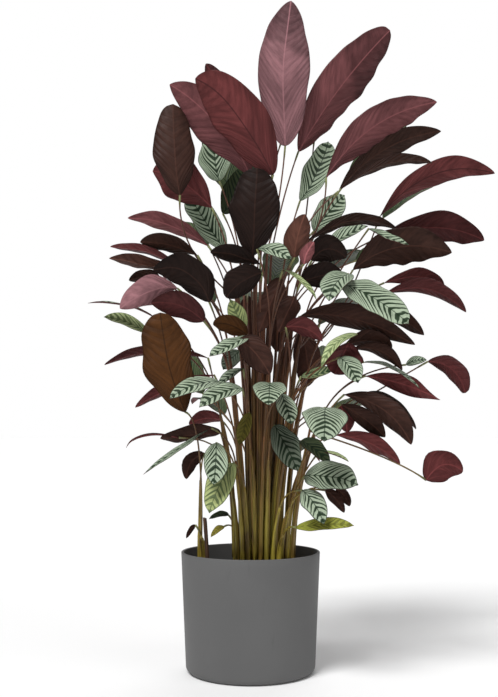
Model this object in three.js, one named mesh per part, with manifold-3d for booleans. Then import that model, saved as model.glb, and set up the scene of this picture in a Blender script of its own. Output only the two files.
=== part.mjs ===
// A potted never never plant. Millimetres, +Z up, origin at the middle of the planter's underside.
import * as THREE from "three";
import { mergeVertices } from "three/addons/utils/BufferGeometryUtils.js";
import Module from "manifold-3d";

const wasm = await Module();
wasm.setup();

// Planter
const POT_HEIGHT = 224;
const POT_RIM_RADIUS = 130;
const POT_FOOT_RADIUS = 121.5;
const POT_WALL = 5;
const POT_FLOOR = 6;
const POT_FOOT_ROUND = 12;
const POT_SIDES = 36;

// Soil
const SOIL_BELOW_RIM = 35;
const SOIL_MOUND = 22;
const MOUND_RADIUS = 80;
const CLEARANCE = 0.3;

// Stems
const CLUMP_CENTRE = new THREE.Vector2(15, 0);
const CLUMP_SPREAD = 0.23;
const CLUMP_SPREAD_HEIGHT = 600;
const CLUMP_RADIUS = 64;
const LONE_FOOT_ACROSS = -70;
const STALK_SPACING = 12.5;
const STALK_RADIUS = 3.5;
const STALK_TOP_RADIUS = 2.6;
const STALK_SIDES = 4;
const STALK_STEPS = 3;
const STALK_SUNK = 26;
const UPRIGHT_LENGTH = 8;
const UPRIGHT_SHARE = 0.4;
const FORK_SHARE = 0.75;
const FORK_LEAN = 0.25;
const LEAF_STALK_RADIUS = 1.7;
const LEAF_STALK_STEPS = 3;
const LEAF_STALK_SUNK = 6;
const LEAF_STALK_RISE = 0.55;

// Leaves
const BLADE_HALF_THICKNESS = 0.42;
const RIB_HALF_THICKNESS = 0.9;
const WIDE_LEAF = 48;
const NARROW_LEAF = 28;
const STATIONS = {
  wide: [0.07, 0.22, 0.45, 0.7, 0.88],
  middling: [0.1, 0.32, 0.62, 0.86],
  narrow: [0.15, 0.5, 0.85],
};
const BLADE_CURL = 0.45;
const MARGIN_WAVE = 0.06;

// Blade outlines: where along the leaf it is broadest, and how it fills out towards its base and
// its tip, from 0.4 for a blunt round end to 1 for a long narrow one.
const OUTLINES = {
  oval: { broadest: 0.45, base: 0.55, tip: 0.62 },
  strap: { broadest: 0.55, base: 0.7, tip: 0.45 },
  lance: { broadest: 0.55, base: 0.95, tip: 0.7 },
  heart: { broadest: 0.36, base: 0.5, tip: 0.7 },
};
const WELD_DISTANCE = 1e-3;

// Where a place that is seen from the front lies: the eye is level, this far off and this high.
const EYE_DISTANCE = 1800;
const EYE_HEIGHT = 450;

// Leafy stems, as seen from the front: leaves with base, middle and tip of the midrib (across,
// up, depth behind the pot's axis), width, and the heading and rise of the green upper side (0
// towards the eye, 90 to the right). A twist turns the blade on its midrib by that angle towards
// its tip, a bend is a place that a leaf stalk passes, a fork is where a stem's leaf stalks part,
// and a foot is where a stem that stands apart from the clump enters the soil.
const LEAFY_STEMS = [
  // top
  [{ base: [65, 985, 5], middle: [63, 1130, 0], tip: [76, 1258, 5], width: 95, face: [180, 0],
     bend: [52, 880, 10] }],
  [{ base: [90, 975, 35], middle: [168, 1095, 45], tip: [262, 1203, 60], width: 90,
     outline: "strap", face: [200, 25], bend: [62, 885, 30] }],
  [{ base: [42, 931, -78], middle: [-30, 1050, -102], tip: [-104, 1112, -94], width: 92,
     face: [160, 20], foot: [14, 7] },
   { base: [20, 985, 15], middle: [-40, 1070, 25], tip: [-84, 1140, 30], width: 60,
     face: [165, 15] }],
  [{ base: [1, 925, -42], middle: [-60, 1024, -46], tip: [-152, 1101, -48], width: 84,
     outline: "lance", face: [170, 20], foot: [8, -7] }],
  // upper left
  [{ base: [-133, 893, -60], middle: [-143, 975, -62], tip: [-146, 1064, -40], width: 80,
     outline: "strap", face: [188, 8], bend: [-110, 790, -50] },
   { base: [-73, 869, -20], middle: [-128, 918, -15], tip: [-184, 938, -5], width: 82,
     outline: "lance", face: [170, 30] }],
  [{ base: [-59, 919, 45], middle: [-68, 965, 55], tip: [-70, 1010, 60], width: 62, face: [0, 10] },
   { base: [-52, 858, 60], middle: [-25, 905, 70], tip: [-12, 950, 75], width: 50, face: [10, 10] }],
  [{ base: [3, 778, -92], middle: [8, 862, -98], tip: [12, 944, -88], width: 84, outline: "strap",
     face: [180, 5], bend: [2, 700, -45] }],
  [{ base: [-46, 786, 15], middle: [-84, 842, 20], tip: [-116, 892, 35], width: 56,
     outline: "strap", face: [10, 10] },
   { base: [-80, 797, -20], middle: [-150, 836, -35], tip: [-231, 850, -50], width: 40,
     outline: "lance", face: [190, 50] }],
  [{ base: [-100, 780, -75], middle: [-156, 800, -95], tip: [-208, 805, -110], width: 42,
     outline: "lance", face: [200, 50] },
   { base: [-130, 760, -80], middle: [-200, 787, -90], tip: [-264, 796, -95], width: 36,
     outline: "lance", face: [180, 75] },
   { base: [-130, 748, -60], middle: [-200, 764, -72], tip: [-266, 774, -80], width: 38,
     outline: "lance", face: [180, 60] }],
  // upper right
  [{ base: [93, 882, 40], middle: [125, 935, 50], tip: [146, 994, 60], width: 54,
     outline: "strap", face: [345, 5] },
   { base: [119, 825, 35], middle: [150, 865, 45], tip: [177, 893, 50], width: 50, face: [10, 15] }],
  [{ base: [142, 926, -15], middle: [232, 1022, -20], tip: [350, 1068, -30], width: 64,
     outline: "lance", face: [190, 30], bend: [125, 830, -10] },
   { base: [165, 900, 15], middle: [250, 978, 28], tip: [358, 1013, 32], width: 50,
     outline: "lance", face: [190, 45] }],
  [{ base: [170, 905, -45], middle: [262, 954, -60], tip: [341, 953, -70], width: 40,
     outline: "lance", face: [180, 78] },
   { base: [140, 793, -30], middle: [180, 817, -35], tip: [221, 835, -38], width: 46,
     face: [0, 55] }],
  [{ base: [243, 853, -5], middle: [345, 932, -8], tip: [459, 934, -15], width: 52,
     outline: "lance", face: [185, 42], bend: [150, 640, 0] },
   { base: [248, 815, -35], middle: [350, 832, -55], tip: [439, 808, -75], width: 62,
     outline: "lance", face: [175, 45] }],
  [{ base: [102, 803, -62], middle: [191, 845, -75], tip: [275, 829, -80], width: 38,
     outline: "lance", face: [180, 72] }],
  [{ base: [192, 752, -70], middle: [276, 795, -95], tip: [378, 785, -120], width: 70,
     outline: "lance", face: [185, 35], bend: [128, 650, -12] },
   { base: [222, 830, -105], middle: [262, 811, -118], tip: [298, 799, -128], width: 28,
     face: [20, 50], bend: [150, 720, -30] }],
  // right
  [{ base: [167, 727, -119], middle: [228, 702, -142], tip: [298, 650, -160], width: 74,
     outline: "strap", face: [20, 35] },
   { base: [185, 745, -112], middle: [160, 727, -140], tip: [147, 694, -158], width: 56,
     face: [345, 45] }],
  [{ base: [251, 728, -65], middle: [316, 740, -80], tip: [364, 722, -90], width: 38,
     outline: "lance", face: [180, 50] },
   { base: [253, 708, -85], middle: [335, 716, -110], tip: [405, 673, -130], width: 42,
     outline: "lance", face: [185, 55] },
   { base: [205, 688, -50], middle: [264, 672, -68], tip: [326, 630, -85], width: 44,
     outline: "lance", face: [180, 50] }],
  [{ base: [92, 665, -72], middle: [188, 662, -88], tip: [309, 612, -118], width: 54,
     outline: "lance", face: [180, 45] }],
  [{ base: [175, 610, -70], middle: [225, 620, -86], tip: [266, 606, -96], width: 46,
     outline: "lance", face: [180, 50] },
   { base: [190, 604, -90], middle: [245, 600, -105], tip: [285, 564, -120], width: 32,
     outline: "lance", face: [185, 50] },
   { base: [185, 616, -102], middle: [172, 588, -122], tip: [158, 556, -132], width: 72,
     face: [150, 20] }],
  [{ base: [66, 645, -100], middle: [105, 642, -115], tip: [135, 618, -122], width: 38,
     face: [180, 40] },
   { base: [95, 552, -75], middle: [128, 557, -88], tip: [158, 566, -96], width: 34,
     face: [0, 50] },
   { base: [200, 632, -136], middle: [158, 612, -145], tip: [133, 568, -155], width: 24,
     face: [330, 50] },
   { base: [168, 588, -140], middle: [188, 566, -158], tip: [202, 540, -168], width: 42,
     face: [10, 25] },
   { base: [213, 579, -100], middle: [270, 566, -110], tip: [320, 526, -118], width: 26,
     face: [0, 75] }],
  [{ base: [333, 580, -60], middle: [378, 566, -78], tip: [404, 521, -95], width: 42,
     outline: "strap", face: [170, 40], bend: [230, 520, -50] },
   { base: [292, 574, -55], middle: [312, 582, -60], tip: [331, 583, -62], width: 18,
     face: [0, 30] },
   { base: [216, 553, -75], middle: [285, 538, -90], tip: [356, 508, -100], width: 36,
     outline: "lance", face: [180, 40], twist: -110 }],
  [{ base: [176, 518, -95], middle: [252, 488, -120], tip: [302, 424, -140], width: 52,
     outline: "lance", face: [180, 35] },
   { base: [170, 500, -80], middle: [215, 472, -95], tip: [253, 438, -105], width: 40,
     outline: "lance", face: [180, 40] },
   { base: [215, 520, -60], middle: [268, 502, -70], tip: [311, 453, -80], width: 30,
     face: [180, 65] },
   { base: [168, 500, -60], middle: [178, 472, -66], tip: [181, 447, -70], width: 32,
     face: [180, 20] },
   { base: [160, 442, -85], middle: [224, 427, -105], tip: [281, 388, -120], width: 42,
     outline: "lance", face: [180, 50] }],
  [{ base: [330, 357, -85], middle: [362, 386, -115], tip: [399, 374, -150], width: 56,
     outline: "heart", face: [170, 12], bend: [245, 402, -70], fork: [112, 455, -20] }],
  // front right
  [{ base: [140, 493, -150], middle: [139, 470, -200], tip: [138, 430, -235], width: 72,
     outline: "heart", face: [0, 50] }],
  [{ base: [36, 540, -125], middle: [35, 525, -175], tip: [33, 498, -210], width: 58,
     outline: "heart", face: [0, 55] },
   { base: [57, 520, -120], middle: [68, 492, -150], tip: [76, 462, -165], width: 36,
     face: [10, 35] }],
  [{ base: [45, 460, -115], middle: [68, 418, -140], tip: [89, 374, -150], width: 50,
     face: [350, 25] }],
  [{ base: [102, 365, -110], middle: [150, 364, -145], tip: [202, 348, -175], width: 60,
     face: [10, 25] },
   { base: [140, 338, -95], middle: [160, 322, -105], tip: [176, 296, -112], width: 22,
     face: [180, 30] },
   { base: [160, 342, -80], middle: [176, 328, -90], tip: [186, 308, -98], width: 20,
     face: [180, 30] },
   { base: [130, 412, -65], middle: [160, 404, -75], tip: [184, 392, -80], width: 20,
     face: [0, 75] },
   { base: [95, 432, -62], middle: [118, 417, -75], tip: [150, 387, -85], width: 42,
     face: [20, 40] }],
  [{ base: [97, 338, -125], middle: [120, 312, -150], tip: [138, 274, -165], width: 38,
     face: [0, 35] }],
  [{ base: [85, 268, -105], middle: [140, 274, -135], tip: [194, 272, -150], width: 30,
     face: [10, 40] }],
  // left
  [{ base: [-78, 692, -110], middle: [-118, 747, -128], tip: [-183, 752, -145], width: 60,
     outline: "oval", face: [190, 40] },
   { base: [-138, 718, -90], middle: [-187, 713, -105], tip: [-246, 680, -118], width: 56,
     outline: "lance", face: [170, 30] },
   { base: [-170, 735, -55], middle: [-200, 739, -62], tip: [-229, 733, -68], width: 34,
     face: [190, 50] },
   { base: [-88, 656, -90], middle: [-135, 686, -105], tip: [-187, 690, -118], width: 50,
     face: [180, 35] }],
  [{ base: [-182, 664, -60], middle: [-240, 686, -75], tip: [-306, 690, -85], width: 26,
     face: [0, 80] },
   { base: [-190, 632, -40], middle: [-235, 655, -55], tip: [-276, 664, -65], width: 32,
     face: [0, 40] },
   { base: [-80, 587, -40], middle: [-180, 597, -60], tip: [-275, 574, -75], width: 36,
     outline: "lance", face: [180, 60] }],
  [{ base: [-123, 485, -130], middle: [-155, 580, -135], tip: [-170, 672, -125], width: 86,
     outline: "strap", face: [185, -5], bend: [-98, 420, -70], foot: [-86, -18] },
   { base: [-104, 273, -35], middle: [-112, 264, -38], tip: [-121, 248, -40], width: 12,
     face: [180, 50] }],
  [{ base: [-69, 555, -60], middle: [-150, 530, -75], tip: [-217, 494, -85], width: 36,
     outline: "lance", face: [180, 55] },
   { base: [-55, 470, 30], middle: [-85, 474, 38], tip: [-116, 462, 42], width: 34,
     face: [180, 40] }],
  [{ base: [-88, 408, -25], middle: [-112, 390, -32], tip: [-121, 359, -38], width: 30,
     face: [180, 30], foot: [-97, 14] }],
  [{ base: [-56, 447, -45], middle: [-110, 441, -62], tip: [-170, 436, -75], width: 42,
     face: [180, 40] },
   { base: [-135, 437, -70], middle: [-200, 441, -82], tip: [-234, 418, -92], width: 9,
     face: [180, 60] }],
  [{ base: [-74, 455, -100], middle: [-135, 417, -118], tip: [-202, 368, -130], width: 18,
     outline: "lance", face: [0, 70] }],
  // front left
  [{ base: [-58, 542, -110], middle: [-106, 536, -145], tip: [-153, 510, -165], width: 46,
     face: [345, 45] },
   { base: [-16, 530, -125], middle: [-58, 520, -155], tip: [-97, 494, -175], width: 40,
     face: [0, 45] },
   { base: [-14, 567, -98], middle: [-38, 554, -106], tip: [-62, 535, -116], width: 24,
     outline: "lance", face: [340, 40] },
   { base: [-3, 484, -80], middle: [-12, 455, -95], tip: [-22, 423, -100], width: 26,
     face: [350, 20] }],
  [{ base: [-65, 427, -125], middle: [-66, 388, -150], tip: [-70, 348, -158], width: 44,
     face: [0, 30] }],
  [{ base: [-33, 389, -105], middle: [-60, 345, -130], tip: [-78, 295, -140], width: 48,
     face: [350, 30] }],
  [{ base: [-41, 291, 45], middle: [-60, 291, 52], tip: [-78, 284, 60], width: 22, face: [0, 60] },
   { base: [-50, 270, -30], middle: [-62, 264, -42], tip: [-75, 250, -50], width: 14,
     face: [0, 40] }],
  // middle
  [{ base: [18, 763, -95], middle: [-30, 780, -110], tip: [-76, 786, -118], width: 38,
     outline: "lance", face: [190, 40] },
   { base: [21, 748, -115], middle: [-20, 728, -130], tip: [-46, 700, -138], width: 58,
     face: [180, 30] }],
  [{ base: [12, 791, -135], middle: [45, 790, -147], tip: [76, 771, -155], width: 32,
     outline: "lance", face: [350, 40] },
   { base: [83, 776, -125], middle: [88, 815, -130], tip: [102, 857, -128], width: 46,
     face: [185, 10] },
   { base: [100, 763, -150], middle: [106, 785, -155], tip: [119, 805, -158], width: 24,
     face: [180, 10] },
   { base: [60, 752, -135], middle: [95, 732, -148], tip: [124, 696, -155], width: 20,
     face: [10, 70] }],
  [{ base: [115, 770, -85], middle: [145, 792, -98], tip: [180, 775, -105], width: 50,
     face: [180, 30] },
   { base: [95, 730, -75], middle: [135, 742, -88], tip: [172, 746, -94], width: 50,
     face: [180, 30] },
   { base: [82, 702, -62], middle: [72, 678, -74], tip: [52, 635, -82], width: 38,
     face: [180, 20] },
   { base: [96, 640, 35], middle: [106, 585, 39], tip: [104, 532, 41], width: 50,
     face: [175, 8] }],
  [{ base: [56, 738, -46], middle: [38, 690, -62], tip: [15, 635, -74], width: 42,
     face: [180, 20] },
   { base: [50, 712, 32], middle: [50, 655, 36], tip: [50, 598, 36], width: 46,
     face: [185, 8] }],
  [{ base: [-7, 630, -85], middle: [-40, 650, -102], tip: [-71, 650, -112], width: 38,
     outline: "oval", face: [190, 35] },
   { base: [-5, 628, -105], middle: [-42, 609, -135], tip: [-78, 590, -155], width: 38,
     face: [340, 45] },
   { base: [-12, 640, -70], middle: [-25, 667, -70], tip: [-38, 697, -75], width: 34,
     face: [350, 10] },
   { base: [-6, 705, 52], middle: [-3, 645, 56], tip: [0, 588, 56], width: 42, face: [185, 8] },
   { base: [-22, 622, -112], middle: [10, 595, -118], tip: [36, 556, -120], width: 50,
     face: [180, 25] },
   { base: [-20, 600, 8], middle: [-36, 585, 2], tip: [-52, 565, -2], width: 36,
     face: [0, 40] }],
  // back
  [{ base: [0, 800, 120], middle: [5, 880, 160], tip: [0, 960, 180], width: 72, face: [0, 15] },
   { base: [-40, 900, 110], middle: [-60, 985, 150], tip: [-75, 1062, 165], width: 76,
     face: [10, 15] },
   { base: [60, 1000, 60], middle: [66, 1085, 100], tip: [72, 1180, 120], width: 80,
     face: [350, 10] }],
  [{ base: [120, 1000, 90], middle: [168, 1072, 130], tip: [218, 1140, 150], width: 66,
     face: [330, 30] },
   { base: [190, 925, 95], middle: [245, 992, 140], tip: [305, 1040, 165], width: 64,
     face: [320, 35] },
   { base: [250, 850, 85], middle: [325, 905, 130], tip: [405, 928, 155], width: 56,
     face: [320, 45] }],
  [{ base: [200, 770, 95], middle: [285, 812, 150], tip: [372, 822, 185], width: 62,
     face: [320, 50] },
   { base: [120, 740, 120], middle: [172, 768, 190], tip: [212, 790, 250], width: 72,
     face: [0, 65] },
   { base: [40, 720, 140], middle: [58, 770, 225], tip: [68, 782, 305], width: 80,
     face: [0, 65] }],
  [{ base: [-80, 800, 95], middle: [-132, 832, 150], tip: [-182, 832, 195], width: 54,
     face: [20, 55] },
   { base: [-70, 690, 115], middle: [-122, 738, 190], tip: [-160, 735, 250], width: 74,
     face: [20, 60] },
   { base: [0, 650, 130], middle: [8, 702, 215], tip: [15, 705, 290], width: 76,
     face: [0, 65] }],
  [{ base: [130, 650, 110], middle: [202, 690, 185], tip: [270, 682, 235], width: 70,
     face: [330, 60] },
   { base: [120, 560, 120], middle: [160, 602, 205], tip: [182, 592, 262], width: 62,
     face: [340, 60] },
   { base: [150, 480, 100], middle: [212, 502, 165], tip: [272, 482, 215], width: 54,
     face: [330, 60] }],
  [{ base: [-90, 520, 90], middle: [-140, 582, 150], tip: [-162, 625, 190], width: 80,
     face: [20, 30] },
   { base: [-50, 480, 115], middle: [-82, 512, 190], tip: [-110, 500, 245], width: 52,
     face: [10, 60] },
   { base: [10, 460, 130], middle: [20, 482, 210], tip: [26, 442, 265], width: 56, face: [0, 60] },
   { base: [70, 400, 120], middle: [100, 422, 190], tip: [130, 392, 235], width: 54,
     face: [350, 60] }],
];

const STUB_FOOT = [-78, -40];
const STUB_TOP = [-84, -46, 290];

const COLOURS = {
  pot: { color: 0x6a6a6a, roughness: 0.6 },
  soil: { color: 0x221b12, roughness: 0.95 },
  leaf: { color: 0x5d3a37, roughness: 0.5 },
  stub: { color: 0x4a3423, roughness: 0.8 },
};

function place([across, up, depth]) {
  const spread = (EYE_DISTANCE + depth) / EYE_DISTANCE;
  return new THREE.Vector3(across * spread, depth, EYE_HEIGHT + (up - EYE_HEIGHT) * spread);
}

function headingToNormal([heading, rise]) {
  const h = THREE.MathUtils.degToRad(heading);
  const r = THREE.MathUtils.degToRad(rise);
  return new THREE.Vector3(
    Math.sin(h) * Math.cos(r), -Math.cos(h) * Math.cos(r), Math.sin(r));
}

// A quadratic curve whose half-way point is given.
function curveThrough(start, halfway, end) {
  const pull = halfway.clone().multiplyScalar(2)
    .addScaledVector(start, -0.5).addScaledVector(end, -0.5);
  return new THREE.QuadraticBezierCurve3(start, pull, end);
}

function closedBody(points, faces) {
  const positions = [];
  for (const face of faces) {
    for (const corner of face) positions.push(...points[corner].toArray());
  }
  const loose = new THREE.BufferGeometry();
  loose.setAttribute("position", new THREE.Float32BufferAttribute(positions, 3));
  return facingOut(mergeVertices(loose, WELD_DISTANCE));
}

// The volume inside a mesh, from the tetrahedra between its triangles and the origin.
function signedVolume(geometry) {
  const at = geometry.getAttribute("position");
  const index = geometry.getIndex();
  const [a, b, c] = [new THREE.Vector3(), new THREE.Vector3(), new THREE.Vector3()];
  let volume = 0;
  for (let i = 0; i < index.count; i += 3) {
    a.fromBufferAttribute(at, index.getX(i));
    b.fromBufferAttribute(at, index.getX(i + 1));
    c.fromBufferAttribute(at, index.getX(i + 2));
    volume += a.dot(b.cross(c)) / 6;
  }
  return volume;
}

// Drops triangles that merging has made into lines, and turns the rest outwards.
function facingOut(geometry) {
  const index = geometry.getIndex();
  const kept = [];
  for (let i = 0; i < index.count; i += 3) {
    const [a, b, c] = [index.getX(i), index.getX(i + 1), index.getX(i + 2)];
    if (a !== b && b !== c && c !== a) kept.push(a, b, c);
  }
  geometry.setIndex(kept);
  if (signedVolume(geometry) < 0) {
    for (let i = 0; i < kept.length; i += 3) {
      [kept[i], kept[i + 1]] = [kept[i + 1], kept[i]];
    }
    geometry.setIndex(kept);
  }
  return geometry;
}

function toSolid(geometry) {
  return new wasm.Manifold(new wasm.Mesh({
    numProp: 3,
    vertProperties: new Float32Array(geometry.getAttribute("position").array),
    triVerts: new Uint32Array(geometry.getIndex().array),
  }));
}

function toGeometry(solid) {
  const mesh = solid.getMesh();
  const geometry = new THREE.BufferGeometry();
  geometry.setAttribute("position", new THREE.BufferAttribute(mesh.vertProperties, 3));
  geometry.setIndex(new THREE.BufferAttribute(mesh.triVerts, 1));
  return geometry;
}

function latheSolid(profile, sides) {
  const lathe = new THREE.LatheGeometry(profile, sides).rotateX(Math.PI / 2);
  lathe.deleteAttribute("normal");
  lathe.deleteAttribute("uv");
  return facingOut(mergeVertices(lathe, WELD_DISTANCE));
}

// The directions of a path's points, each the mean of the stretches that meet there.
function directionsAlong(path) {
  return path.map((point, i) => {
    const before = path[Math.max(i - 1, 0)];
    const after = path[Math.min(i + 1, path.length - 1)];
    const arriving = point.clone().sub(before).normalize();
    const leaving = after.clone().sub(point).normalize();
    return arriving.add(leaving).normalize();
  });
}

// A round stalk, from wide to narrow, closed at both ends.
function stalkBody(path, startRadius, endRadius, sides) {
  const directions = directionsAlong(path);
  const points = [];
  let outward = new THREE.Vector3(1, 0, 0);
  path.forEach((centre, i) => {
    outward = outward.clone().addScaledVector(directions[i], -outward.dot(directions[i])).normalize();
    const sideways = directions[i].clone().cross(outward);
    const radius = startRadius + (endRadius - startRadius) * i / (path.length - 1);
    for (let k = 0; k < sides; k++) {
      const turn = 2 * Math.PI * k / sides;
      points.push(centre.clone()
        .addScaledVector(outward, radius * Math.cos(turn))
        .addScaledVector(sideways, radius * Math.sin(turn)));
    }
  });
  const faces = [];
  for (let i = 0; i + 1 < path.length; i++) {
    for (let k = 0; k < sides; k++) {
      const [a, b] = [i * sides + k, i * sides + (k + 1) % sides];
      faces.push([a, b, b + sides], [a, b + sides, a + sides]);
    }
  }
  const last = (path.length - 1) * sides;
  for (let k = 1; k + 1 < sides; k++) {
    faces.push([0, k + 1, k], [last, last + k, last + k + 1]);
  }
  return closedBody(points, faces);
}

function bladeStations(width) {
  if (width >= WIDE_LEAF) return STATIONS.wide;
  return width >= NARROW_LEAF ? STATIONS.middling : STATIONS.narrow;
}

function halfWidth(leaf, along) {
  const outline = OUTLINES[leaf.outline ?? "oval"];
  const towardsTip = along > outline.broadest;
  const share = towardsTip
    ? (1 - along) / (1 - outline.broadest)
    : along / outline.broadest;
  return leaf.width / 2 * Math.sin(Math.PI / 2 * share) ** (towardsTip ? outline.tip : outline.base);
}

// One leaf as one body: a flattened stalk that opens into a thin blade with a rib down its middle.
function leafBody(leaf, forkPoint, stemDirection) {
  const base = place(leaf.base);
  const middle = place(leaf.middle);
  const tip = place(leaf.tip);
  const start = forkPoint.clone().addScaledVector(stemDirection, -LEAF_STALK_SUNK);
  const reach = start.distanceTo(base);
  const stalk = leaf.bend
    ? curveThrough(start, place(leaf.bend), base)
    : new THREE.QuadraticBezierCurve3(
      start, start.clone().addScaledVector(stemDirection, reach * LEAF_STALK_RISE), base);
  const blade = curveThrough(base, middle, tip);
  const stalkPath = stalk.getPoints(LEAF_STALK_STEPS);
  const stations = bladeStations(leaf.width);
  const bladePath = stations.map((along) => blade.getPoint(along));
  const path = [...stalkPath, ...bladePath];
  const directions = directionsAlong([...path, tip]);
  const knee = LEAF_STALK_STEPS;

  const normals = new Array(path.length);
  const square = (normal, direction) =>
    normal.clone().addScaledVector(direction, -normal.dot(direction)).normalize();
  normals[knee] = square(headingToNormal(leaf.face), tip.clone().sub(base).normalize());
  normals[knee] = square(normals[knee], directions[knee]);
  for (let i = knee - 1; i >= 0; i--) normals[i] = square(normals[i + 1], directions[i]);
  for (let i = knee + 1; i < path.length; i++) {
    normals[i] = square(normals[i - 1], directions[i]);
  }
  const twist = THREE.MathUtils.degToRad(leaf.twist ?? 0);
  for (let i = knee + 1; i < path.length; i++) {
    normals[i] = normals[i].clone()
      .applyAxisAngle(directions[i], twist * stations[i - knee - 1] ** 2);
  }

  const points = [];
  path.forEach((centre, i) => {
    const up = normals[i];
    const left = up.clone().cross(directions[i]).normalize();
    const onBlade = i > knee;
    const along = onBlade ? stations[i - knee - 1] : 0;
    const wave = i % 2 === 0 ? MARGIN_WAVE : -MARGIN_WAVE;
    const reachOut = onBlade ? halfWidth(leaf, along) : LEAF_STALK_RADIUS;
    const roll = onBlade ? BLADE_CURL : 0;
    const across = reachOut * (roll > 0 ? Math.sin(roll) / roll : 1);
    const lift = reachOut * (roll > 0 ? (1 - Math.cos(roll)) / roll + wave : 0);
    const edge = onBlade ? BLADE_HALF_THICKNESS : 0;
    const rib = onBlade ? RIB_HALF_THICKNESS : LEAF_STALK_RADIUS;
    const margin = (hand) => centre.clone().addScaledVector(left, hand * across)
      .addScaledVector(up, lift);
    const marginUp = (hand) => up.clone().multiplyScalar(Math.cos(roll / 2))
      .addScaledVector(left, -hand * Math.sin(roll / 2));
    points.push(
      margin(1).addScaledVector(marginUp(1), edge),
      centre.clone().addScaledVector(up, rib),
      margin(-1).addScaledVector(marginUp(-1), edge),
      margin(-1).addScaledVector(marginUp(-1), -edge),
      centre.clone().addScaledVector(up, -rib),
      margin(1).addScaledVector(marginUp(1), -edge));
  });
  const faces = [];
  const ring = 6;
  for (let i = 0; i + 1 < path.length; i++) {
    const [a, b] = [i * ring, (i + 1) * ring];
    faces.push([a, a + 1, b + 1], [a, b + 1, b]);
    faces.push([a + 1, a + 2, b + 1], [a + 2, b + 2, b + 1]);
    faces.push([a + 2, a + 3, b + 3], [a + 2, b + 3, b + 2]);
    faces.push([a + 3, a + 4, b + 4], [a + 3, b + 4, b + 3]);
    faces.push([a + 4, a + 5, b + 4], [a + 5, b + 5, b + 4]);
    faces.push([a + 5, a, b], [a + 5, b, b + 5]);
  }
  const last = (path.length - 1) * ring;
  const tipIndex = points.length;
  points.push(tip);
  for (let k = 0; k < ring; k++) faces.push([last + k, last + (k + 1) % ring, tipIndex]);
  faces.push([0, 2, 1], [0, 4, 2]);
  return closedBody(points, faces);
}

function meanBase(leaves) {
  const mean = new THREE.Vector3();
  for (const leaf of leaves) mean.addScaledVector(place(leaf.base), 1 / leaves.length);
  return mean;
}

// Where each stem enters the soil: drawn in towards the clump from where its leaves are, then
// moved apart from its neighbours until they all have room.
function stemFeet() {
  const feet = LEAFY_STEMS.map((leaves) => {
    if (leaves[0].foot) return new THREE.Vector2(...leaves[0].foot);
    const mean = meanBase(leaves);
    const spread = CLUMP_SPREAD * CLUMP_SPREAD_HEIGHT / mean.z;
    return new THREE.Vector2(mean.x, mean.y).sub(CLUMP_CENTRE).multiplyScalar(spread)
      .add(CLUMP_CENTRE);
  });
  const rounds = 400;
  for (let round = 0; round < rounds; round++) {
    for (let i = 0; i < feet.length; i++) {
      for (let j = i + 1; j < feet.length; j++) {
        const between = feet[j].clone().sub(feet[i]);
        const short = STALK_SPACING - between.length();
        if (short <= 0) continue;
        between.normalize().multiplyScalar(short / 2);
        if (!LEAFY_STEMS[i][0].foot) feet[i].sub(between);
        if (!LEAFY_STEMS[j][0].foot) feet[j].add(between);
      }
    }
    for (const foot of feet) {
      const out = foot.clone().sub(CLUMP_CENTRE);
      if (out.length() > CLUMP_RADIUS && foot.x > LONE_FOOT_ACROSS) {
        foot.copy(CLUMP_CENTRE).addScaledVector(out.normalize(), CLUMP_RADIUS);
      }
    }
  }
  return feet;
}

const SOIL_TOP = POT_HEIGHT - SOIL_BELOW_RIM;

function soilHeight(x, y) {
  const fromClump = Math.hypot(x - CLUMP_CENTRE.x, y - CLUMP_CENTRE.y) / MOUND_RADIUS;
  return SOIL_TOP + SOIL_MOUND * Math.exp(-fromClump * fromClump);
}

function leafyStem(leaves, foot) {
  const mean = meanBase(leaves);
  const lowest = Math.min(...leaves.map((leaf) => place(leaf.base).z));
  const footPoint = new THREE.Vector3(foot.x, foot.y, SOIL_TOP - STALK_SUNK);
  const soilPoint = footPoint.clone().setZ(soilHeight(foot.x, foot.y) + UPRIGHT_LENGTH);
  const rise = lowest - soilPoint.z;
  const fork = leaves[0].fork
    ? place(leaves[0].fork)
    : soilPoint.clone().lerp(mean, FORK_LEAN).setZ(soilPoint.z + rise * FORK_SHARE);
  const stem = new THREE.QuadraticBezierCurve3(
    soilPoint, soilPoint.clone().setZ(soilPoint.z + rise * UPRIGHT_SHARE), fork);
  const path = [footPoint, ...stem.getPoints(STALK_STEPS)];
  const direction = fork.clone().sub(path[path.length - 2]).normalize();
  let solid = toSolid(stalkBody(path, STALK_RADIUS, STALK_TOP_RADIUS, STALK_SIDES));
  for (const leaf of leaves) solid = solid.add(toSolid(leafBody(leaf, fork, direction)));
  return solid;
}

function potSolid() {
  const profile = [new THREE.Vector2(0, 0)];
  const roundSteps = 4;
  for (let i = 0; i <= roundSteps; i++) {
    const turn = Math.PI / 2 * i / roundSteps;
    profile.push(new THREE.Vector2(
      POT_FOOT_RADIUS - POT_FOOT_ROUND * (1 - Math.sin(turn)),
      POT_FOOT_ROUND * (1 - Math.cos(turn))));
  }
  profile.push(
    new THREE.Vector2(POT_RIM_RADIUS, POT_HEIGHT),
    new THREE.Vector2(POT_RIM_RADIUS - POT_WALL, POT_HEIGHT),
    new THREE.Vector2(POT_FOOT_RADIUS - POT_WALL, POT_FLOOR),
    new THREE.Vector2(0, POT_FLOOR));
  return latheSolid(profile, POT_SIDES);
}

function innerRadius(height) {
  const share = (height - POT_FLOOR) / (POT_HEIGHT - POT_FLOOR);
  return POT_FOOT_RADIUS - POT_WALL + (POT_RIM_RADIUS - POT_FOOT_RADIUS) * share;
}

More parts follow.
